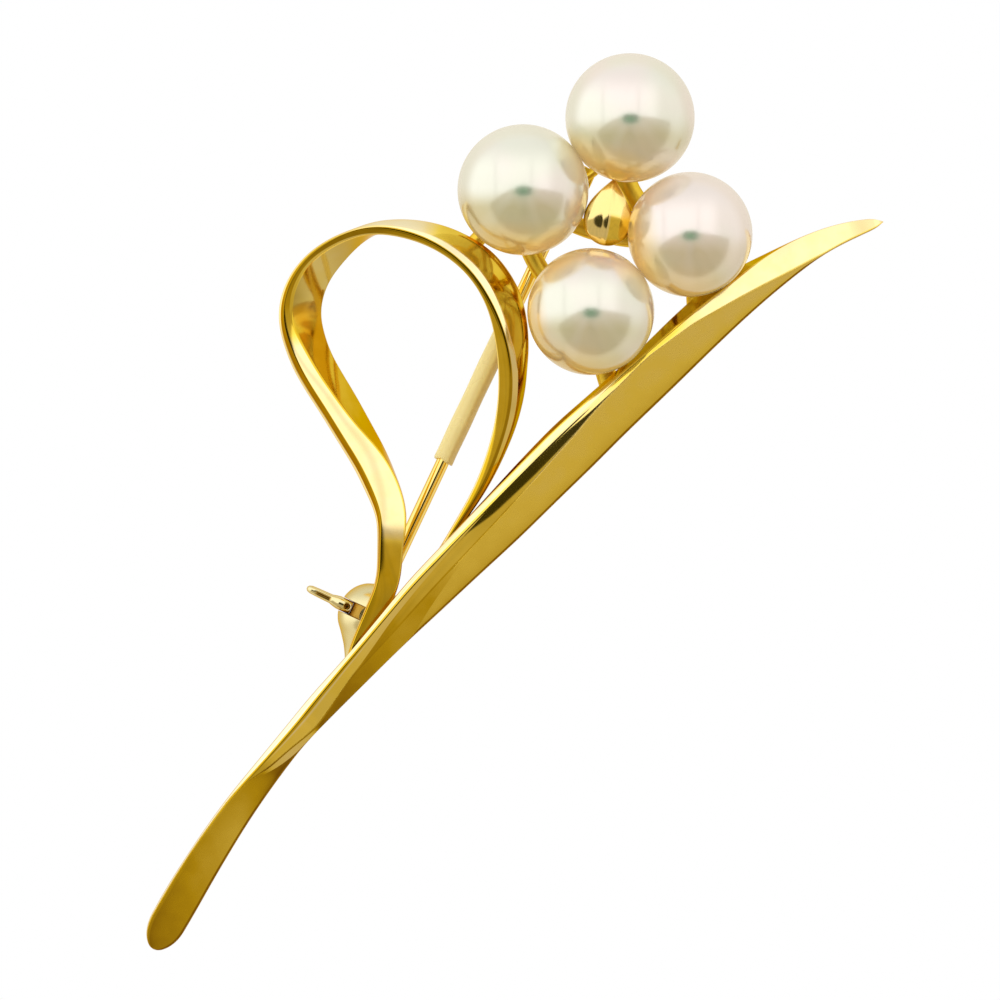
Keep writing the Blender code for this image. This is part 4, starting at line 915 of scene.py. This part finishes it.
flowerFrame = {
    "level": 1.80, "halfHigh": 0.40, "wireHigh": 0.39, "armHigh": 0.38, "pad": 1.25, "padHole": 0.43,
    # from, to, bow to the right of travel, half width; arms end on the blade or the ribbon
    "wires": (
        ("left", "bottom", 1.25, 0.53), ("left", "top", 1.52, 0.22), ("top", "right", 1.95, 0.60),
        ("left", "right", 1.20, 0.50),
    ),
    "arms": (("left", (-0.10, 8.60), 0.45), ("right", (12.81, 3.90), 0.58), ("bottom", (8.09, -0.42), 0.58)),
}


def makeFlowerFrame():
    # wires bow by four times the share times what is left of it; pads are flat rings turned round each
    # pearl's axis
    share = np.linspace(0, 1, 60)[:, None]
    level, halfHigh = flowerFrame["level"], flowerFrame["halfHigh"]
    grids = []
    for start, end, bow, halfWide in flowerFrame["wires"]:
        chord = pearlPlan[end] - pearlPlan[start]
        side = np.array((chord[1], -chord[0])) / np.linalg.norm(chord)
        line = pearlPlan[start] + chord * share + side * bow * 4 * share * (1 - share)
        grids.append({"points": roundWire(line, halfWide, flowerFrame["wireHigh"], level)})
    for start, end, halfWide in flowerFrame["arms"]:
        line = pearlPlan[start] + (np.array(end) - pearlPlan[start]) * share
        grids.append({"points": roundWire(line, halfWide, flowerFrame["armHigh"], level)})
    low, high = level - halfHigh, level + halfHigh
    inner, outer = flowerFrame["padHole"], flowerFrame["pad"]
    corners = np.array((((inner, low), (outer, low), (outer, high), (inner, high)),), dtype=float)
    profile = roundedRing(corners, (0.04, 0.16, 0.16, 0.04), (0.0,) * 4)[0]
    for x, z in pearlPlan.values():
        grids.append({"points": turned(profile, (x, 0.0, z), forward, (1, 0, 0), 48), "looped": True})
    return makePiece("flowerFrame", grids, goldShadedBehind, "brooch", "flower_frame")


makeFlowerFrame()

# keeled drop between the pearls

dropBead = {
    "lean": -8.6, "middle": (7.75, 10.51), "length": 3.88, "width": 2.80, "level": 5.18,
    "front": 1.25, "back": 0.90, "belly": 0.62, "crown": -0.35, "curve": 0.26, "keel": 0.05,
    "rim": 0.26, "rimStart": 0.84, "tipDepth": 0.66, "frontColumns": 81, "backColumns": 41,
}


def makeDropBead():
    # half width swells by a sine to the belly and by an ellipse after it; the front is a shallow arch with
    # its crown left of the middle and a faint keel, rolled over at the rim; the back is half an ellipse
    share = (1 - np.cos(np.linspace(0.03, math.pi - 0.03, 110)))[:, None] / 2
    belly, half = dropBead["belly"], dropBead["width"] / 2
    swell = np.where(share < belly, np.sin(math.pi / 2 * np.minimum(share / belly, 1)),
                     np.sqrt(np.maximum(1 - ((share - belly) / (1 - belly)) ** 2, 0)))
    before = np.sin(np.linspace(-1, 1, dropBead["frontColumns"]) * math.pi / 2)
    behind = np.sin(np.linspace(1, -1, dropBead["backColumns"]) * math.pi / 2)[1:-1]
    t = np.concatenate((before, behind))[None]
    front = np.arange(t.shape[1])[None] < len(before)
    x = swell * half * t
    roll = straightStep(np.abs(t), dropBead["rimStart"], 1.0)
    keel = dropBead["keel"] * np.minimum(np.abs(t) * 4, 1)
    arch = dropBead["front"] - dropBead["curve"] / 2 * (half * t - dropBead["crown"]) ** 2 - keel
    arch = arch - dropBead["rim"] * (1 - np.sqrt(1 - roll**2))
    depth = dropBead["tipDepth"] + (1 - dropBead["tipDepth"]) * swell
    frontHigh = arch * depth * np.sqrt(np.clip(swell * 5, 0, 1))
    backHigh = -dropBead["back"] * np.sqrt(np.maximum(1 - t**2, 0)) * swell
    high = np.where(front, frontHigh, backHigh)
    y = (0.5 - share) * dropBead["length"] + 0 * x
    lean = math.radians(dropBead["lean"])
    planX = x * math.cos(lean) - y * math.sin(lean) + dropBead["middle"][0]
    planZ = x * math.sin(lean) + y * math.cos(lean) + dropBead["middle"][1]
    points = np.stack((planX, -(dropBead["level"] + high), planZ), axis=-1) * 1e-3
    # painted shade: darker round the rim, at the lower end, on the lower right face and over the back
    paintedTone = 0.1 + 1.9 * softStep(np.abs(t), 0.88, 0.99) + 0.8 * softStep(share, 0.84, 0.98)
    paintedTone = np.where(front, paintedTone + 1.1 * softStep(share, 0.50, 0.62) * softStep(t, 0.06, 0.12), 1.6)
    grid = {"points": points, "values": {"paintedTone": paintedTone, "satin": 0 * paintedTone, "paintedShade": 0 * paintedTone}}
    return makePiece("dropBead", [grid], goldWorked, "brooch", "drop_bead")


makeDropBead()

# pin with its eye, and the plastic sleeve on it

hinge, catch = np.array((5.9126, 0.0, 12.5809)), np.array((-5.9126, 0.0, -12.5809))
pinWay = np.array((0.425339, 0.0, 0.905034))  # from the catch to the hinge
leverWay = np.array((-0.905034, 0.0, 0.425339))
pinStem = {
    "radius": 0.375, "tip": 0.02, "start": 0.52, "length": 29.2, "point": 3.0, "eye": 0.75, "bore": 0.36,
    "eyeHalf": 0.42,
}


def makePinStem():
    # wire turned about the pin's axis with a sine taper to its point, and a ring turned about the rivet
    radius, tip, length = pinStem["radius"], pinStem["tip"], pinStem["length"]
    taper = np.linspace(0, 1, 24)[:, None]
    slim = tip + (radius - tip) * np.sin(math.pi / 2 * taper)
    point = np.concatenate((slim, length - pinStem["point"] * taper), axis=1)
    wire = np.linspace(length - pinStem["point"] - 0.4, pinStem["start"] + 0.1, 60)[:, None]
    wire = np.concatenate((np.full_like(wire, radius), wire), axis=1)
    profile = np.concatenate((point, wire, ((radius * 0.8, pinStem["start"]),)))
    bore, eye, half = pinStem["bore"], pinStem["eye"], pinStem["eyeHalf"]
    corners = np.array((((bore, -half), (eye, -half), (eye, half), (bore, half)),))
    ring = roundedRing(corners, (0.05, 0.16, 0.16, 0.05), (0.0,) * 4)[0]
    grids = [{"points": turned(profile, hinge, -pinWay, (0, -1, 0), 40)},
             {"points": turned(ring, hinge, leverWay, (0, -1, 0), 64), "looped": True}]
    return makePiece("pinStem", grids, gold, "pin", "pin_stem")


makePinStem()

pinSleeve = {
    "start": 9.4, "length": 8.6, "outer": 0.59, "inner": 0.405, "waver": 0.010, "flare": 0.012,
    "ragged": 0.05, "cut": 0.5, "sides": 56,
}


def makePinSleeve():
    # a tube with softened ends; its radius wavers a little along the length and its far end is cut unevenly
    start, end = pinSleeve["start"], pinSleeve["start"] + pinSleeve["length"]
    cut, thickest, bore = pinSleeve["cut"], pinSleeve["outer"], pinSleeve["inner"]
    along = np.linspace(start + 0.06, end - 0.06, 80)
    flare = pinSleeve["flare"] * np.exp(-((along - end) / cut) ** 2)
    radius = thickest - pinSleeve["flare"] + pinSleeve["waver"] * np.sin(along * 1.7) + flare
    inner = np.column_stack((np.full(20, bore), np.linspace(end - 0.02, start + 0.02, 20)))
    outer = np.column_stack((radius, along))
    profile = np.concatenate((((bore + 0.05, start), (thickest - 0.06, start)), outer,
                              ((thickest - 0.04, end), (bore + 0.05, end)), inner))
    points = turned(profile, hinge, -pinWay, (0, -1, 0), pinSleeve["sides"])
    angle = np.linspace(0, 2 * math.pi, pinSleeve["sides"], endpoint=False)
    trim = pinSleeve["ragged"] * (1 + np.sin(angle * 2 + 0.7) + 0.5 * np.sin(angle * 5))
    trim = trim * straightStep(profile[:, 1:], end - cut, end)
    points = points + trim[..., None] * pinWay * 1e-3
    # painted shade on one side of the tube, with faint streaks of painted light and shade round it
    paintedSideShade = np.clip(softStep(-np.sin(angle), 0.1, 0.6) + 0.10 * np.sin(angle * 9 + 1), 0, 1)
    grid = {"points": points, "looped": True, "values": {"paintedSideShade": paintedSideShade + 0 * profile[:, :1]}}
    return makePiece("pinSleeve", [grid], creamPlastic, "pin", "pin_sleeve")


makePinSleeve()

# hinge: two ears on a floor plate, and the rivet through them

hingeEars = {
    "inner": 0.47, "outer": 0.80, "radius": 0.80, "foot": 1.36, "earEdge": 0.08, "floor": 0.38,
    "floorEdge": 0.06, "rivet": 0.30, "head": 0.46, "rivetHalf": 0.93, "rivetSoft": 0.03,
}


def slab(outline, origin, axis, first, second, low, high, edge):
    # a closed outline in two directions, carried along the axis from low to high, its rims drawn in by a
    # quarter circle
    outline = np.array(outline, dtype=float)
    centre = outline.mean(axis=0)
    size = np.abs(outline - centre).max()
    bend = np.linspace(0, math.pi / 2, 6)
    inset = np.concatenate((edge * (1 - np.sin(bend)), edge * (1 - np.sin(bend[::-1]))))
    place = np.concatenate((low + edge * (1 - np.cos(bend)), high - edge * (1 - np.cos(bend[::-1]))))
    shrink = 1 - inset / size
    flat = centre + (outline - centre)[None] * shrink[:, None, None]
    return (origin + place[:, None, None] * axis + flat[..., :1] * first + flat[..., 1:] * second) * 1e-3


def makeHinge():
    # each ear is half a circle over a straight foot; the floor plate lies behind the frame
    radius, foot = hingeEars["radius"], hingeEars["foot"]
    arch = np.linspace(0, math.pi, 25)
    ear = np.concatenate((np.column_stack((radius * np.cos(arch), -radius * np.sin(arch))),
                          np.column_stack((np.linspace(-radius, radius, 13), np.full(13, foot)))))
    inner, outer, edge = hingeEars["inner"], hingeEars["outer"], hingeEars["earEdge"]
    grids = [{"points": slab(ear, hinge, leverWay * side, pinWay, forward, inner, outer, edge)}
             for side in (-1, 1)]
    halfWide, halfLong = outer - 0.02, radius * 0.9
    plate = [(-halfWide, -halfLong), (halfWide, -halfLong), (halfWide, halfLong), (-halfWide, halfLong)]
    plate = roundedRing(np.array([plate]), (0.15,) * 4, (0.0,) * 4)[0]
    low, high = foot - hingeEars["floor"], foot - 0.01
    grids.append({"points": slab(plate, hinge, forward, leverWay, pinWay, low, high, hingeEars["floorEdge"])})
    makePiece("hingeEars", grids, goldShadedBehind, "brooch", "hinge_bracket")
    half, head, thin = hingeEars["rivetHalf"], hingeEars["head"], hingeEars["rivet"]
    headSide = ((0.03, half), (head * 0.7, half), (head, half - 0.06), (head, half - 0.12),
                (thin, half - 0.13))
    profile = [(across, -along) for across, along in headSide] + list(headSide[::-1])
    grid = {"points": turned(softLine(profile, hingeEars["rivetSoft"]), hinge, leverWay, forward, 40)}
    makePiece("hingeRivet", [grid], goldShadedBehind, "brooch", "hinge_rivet")


makeHinge()

# catch: a ball with a tapered tail, bored for the pin, with a slot round it for the lever and one behind for
# the pin

catchBody = {
    "room": 1.13, "roomHalf": 1.0, "bore": 0.50, "boreStart": -1.80, "boreEnd": 1.65, "floor": 1.17,
    "slotHalf": 0.40, "slot": (-88.0, 124.0), "pinSlot": 90.0, "pinSlotHalf": 0.46,
    "sides": 240, "darkest": 2.9,
    # radius and distance from the middle towards the tail
    "outline": (
        (0.52, -1.86), (1.00, -1.65), (1.45, -1.25), (1.75, -0.71), (1.85, -0.03), (1.79, 0.45),
        (1.60, 0.90), (1.157, 1.45), (0.66, 2.10), (0.40, 2.53), (0.20, 2.86), (0.03, 2.95),
    ),
}


def makeCatchBody():
    # the outline is turned about the pin's line; in the slots the radius falls to the floor, in soft steps at
    # their rims
    outline, _ = alongRows(catchBody["outline"], 230)
    room, roomHalf, bore, boreEnd = (catchBody[label] for label in ("room", "roomHalf", "bore", "boreEnd"))
    inside = softLine(((0.03, boreEnd), (bore, boreEnd), (bore, roomHalf), (room, roomHalf),
                       (room, -roomHalf), (bore, -roomHalf), (bore, catchBody["boreStart"])), 0.04)
    profile = np.concatenate((inside, outline))
    angle = np.degrees(np.linspace(-math.pi, math.pi, catchBody["sides"], endpoint=False))[None]
    along, radius = profile[:, 1:], profile[:, :1] + 0 * angle
    first, last = catchBody["slot"]
    middle, half = (first + last) / 2, (last - first) / 2
    lever = softStep(catchBody["slotHalf"] - np.abs(along), -0.02, 0.012)
    lever = lever * softStep(half - np.abs(angle - middle), -2.5, 2.5)
    fromSlot = angle - catchBody["pinSlot"]
    aside = np.abs(radius * np.sin(np.radians(fromSlot))) + 9.0 * (np.abs(fromSlot) > 60)
    pin = softStep(catchBody["pinSlotHalf"] - aside, -0.03, 0.03) * softStep(boreEnd - along, -0.05, 0.05)
    cutAway = np.maximum(lever, pin)
    cutAway[:len(inside)] = 0.0
    radius = radius - cutAway * np.maximum(radius - catchBody["floor"], 0.0)
    turn = np.radians(angle[0])
    spoke = np.cos(turn)[:, None] * leverWay - np.sin(turn)[:, None] * forward
    points = (catch - along[..., None] * pinWay + radius[..., None] * spoke[None]) * 1e-3
    # browner towards the tail; painted shade darkest at the rims of the slots, less dark on their floor
    paintedTone = 0.55 + 0.5 * softStep(along, 0.2, 2.0) + 2.4 * softStep(cutAway, 0.02, 0.15)
    paintedTone = np.minimum(paintedTone - 0.8 * softStep(cutAway, 0.93, 1.0), catchBody["darkest"])
    grid = {"points": points, "values": {"paintedTone": paintedTone, "satin": 0.4 + 0.8 * cutAway, "paintedShade": 0 * cutAway}}
    return makePiece("catchBody", [grid], paleWorked, "brooch", "catch_body")


makeCatchBody()

# thumb lever of the catch: a tapered bar with a thicker, pierced root

catchLever = {
    "start": 1.175, "end": 3.96, "tip": 3.7, "hole": (1.42, 0.17), "holeDepth": 0.16,
    "groove": (2.35, 3.55, 0.10), "grooveDepth": 0.04, "darkest": 2.9,
    # distance, half thickness, half depth
    "rows": (
        (1.175, 0.385, 0.46), (1.26, 0.385, 0.48), (1.95, 0.385, 0.49), (2.20, 0.34, 0.44),
        (2.45, 0.27, 0.40), (3.30, 0.25, 0.40), (3.70, 0.23, 0.38), (3.88, 0.17, 0.30), (3.96, 0.06, 0.14),
    ),
}


def makeCatchLever():
    # a superellipse section carried along the lever; painted shade dark in the hole and in a groove along the
    # front, and darker along one side
    rows = np.array(catchLever["rows"])
    tip = catchLever["tip"]
    straight = np.linspace(catchLever["start"], tip, 90)
    along = np.concatenate((straight, np.linspace(tip + 0.02, catchLever["end"], 20)))
    thick, deep = np.interp(along, rows[:, 0], rows[:, 1]), np.interp(along, rows[:, 0], rows[:, 2])
    across, ahead = superellipse(72, 2.5)
    across, ahead = thick[:, None] * across, deep[:, None] * ahead
    place, size = catchLever["hole"]
    hole = softStep(size - np.hypot(along[:, None] - place, across), -0.04, 0.05) * (ahead > 0)
    start, end, wide = catchLever["groove"]
    groove = softStep(wide - np.abs(across + 0.03), -0.05, 0.05) * (ahead > 0)
    groove = groove * (softStep(along, start, start + 0.2) * softStep(-along, -end, -end + 0.3))[:, None]
    ahead = ahead - catchLever["holeDepth"] * hole - catchLever["grooveDepth"] * groove
    points = catch + along[:, None, None] * leverWay + across[..., None] * pinWay + ahead[..., None] * forward
    paintedTone = 0.5 + 2.4 * hole + 1.9 * groove + 0.9 * softStep(-across, 0.05, 0.3)
    values = {"paintedTone": np.minimum(paintedTone, catchLever["darkest"]), "satin": 0 * paintedTone, "paintedShade": 0 * paintedTone}
    grid = {"points": points * 1e-3, "values": values}
    return makePiece("catchLever", [grid], paleWorked, "turner", "catch_lever")


makeCatchLever()

# CAD nodes that stay

for nodeName, node in cadNodes.items():
    if node.hide_render:
        continue
    # the rotor inside the catch takes the shaded pale gold: painted shade
    chosen = paleShadedInside if nodeName == "catch_rotor" else goldPale if nodeName.startswith("catch") else gold
    node.data.materials.clear()
    node.data.materials.append(chosen)

# floor, far enough below to stay out of the front view

floorLook = {
    "half": 0.22, "level": -0.085, "light": (0.87, 0.86, 0.84, 1.0), "shaded": (0.84, 0.83, 0.81, 1.0),
    "mottle": 60.0,
}
half, level = floorLook["half"], floorLook["level"]
floorCorners = [(-half, -half, level), (half, -half, level), (half, half, level), (-half, half, level)]
floorMesh = bpy.data.meshes.new("floor")
floorMesh.from_pydata(floorCorners, [], [(0, 1, 2, 3)])
floor = bpy.data.objects.new("floor", floorMesh)
scene.collection.objects.link(floor)
floorPaint, paintTree, paintShader, paintPlace = newMaterial("paleFloor")
mottle = noiseAt(paintTree, paintPlace, floorLook["mottle"], 4.0)
paint = blendColour(paintTree, mottle, floorLook["light"], floorLook["shaded"])
paintTree.links.new(paint, paintShader.inputs["Base Color"])
paintTree.links.new(rampBetween(paintTree, mottle, 0.3, 0.7, 0.7, 0.85), paintShader.inputs["Roughness"])
floorMesh.materials.append(floorPaint)
floor.visible_glossy = floor.visible_diffuse = floor.visible_transmission = False
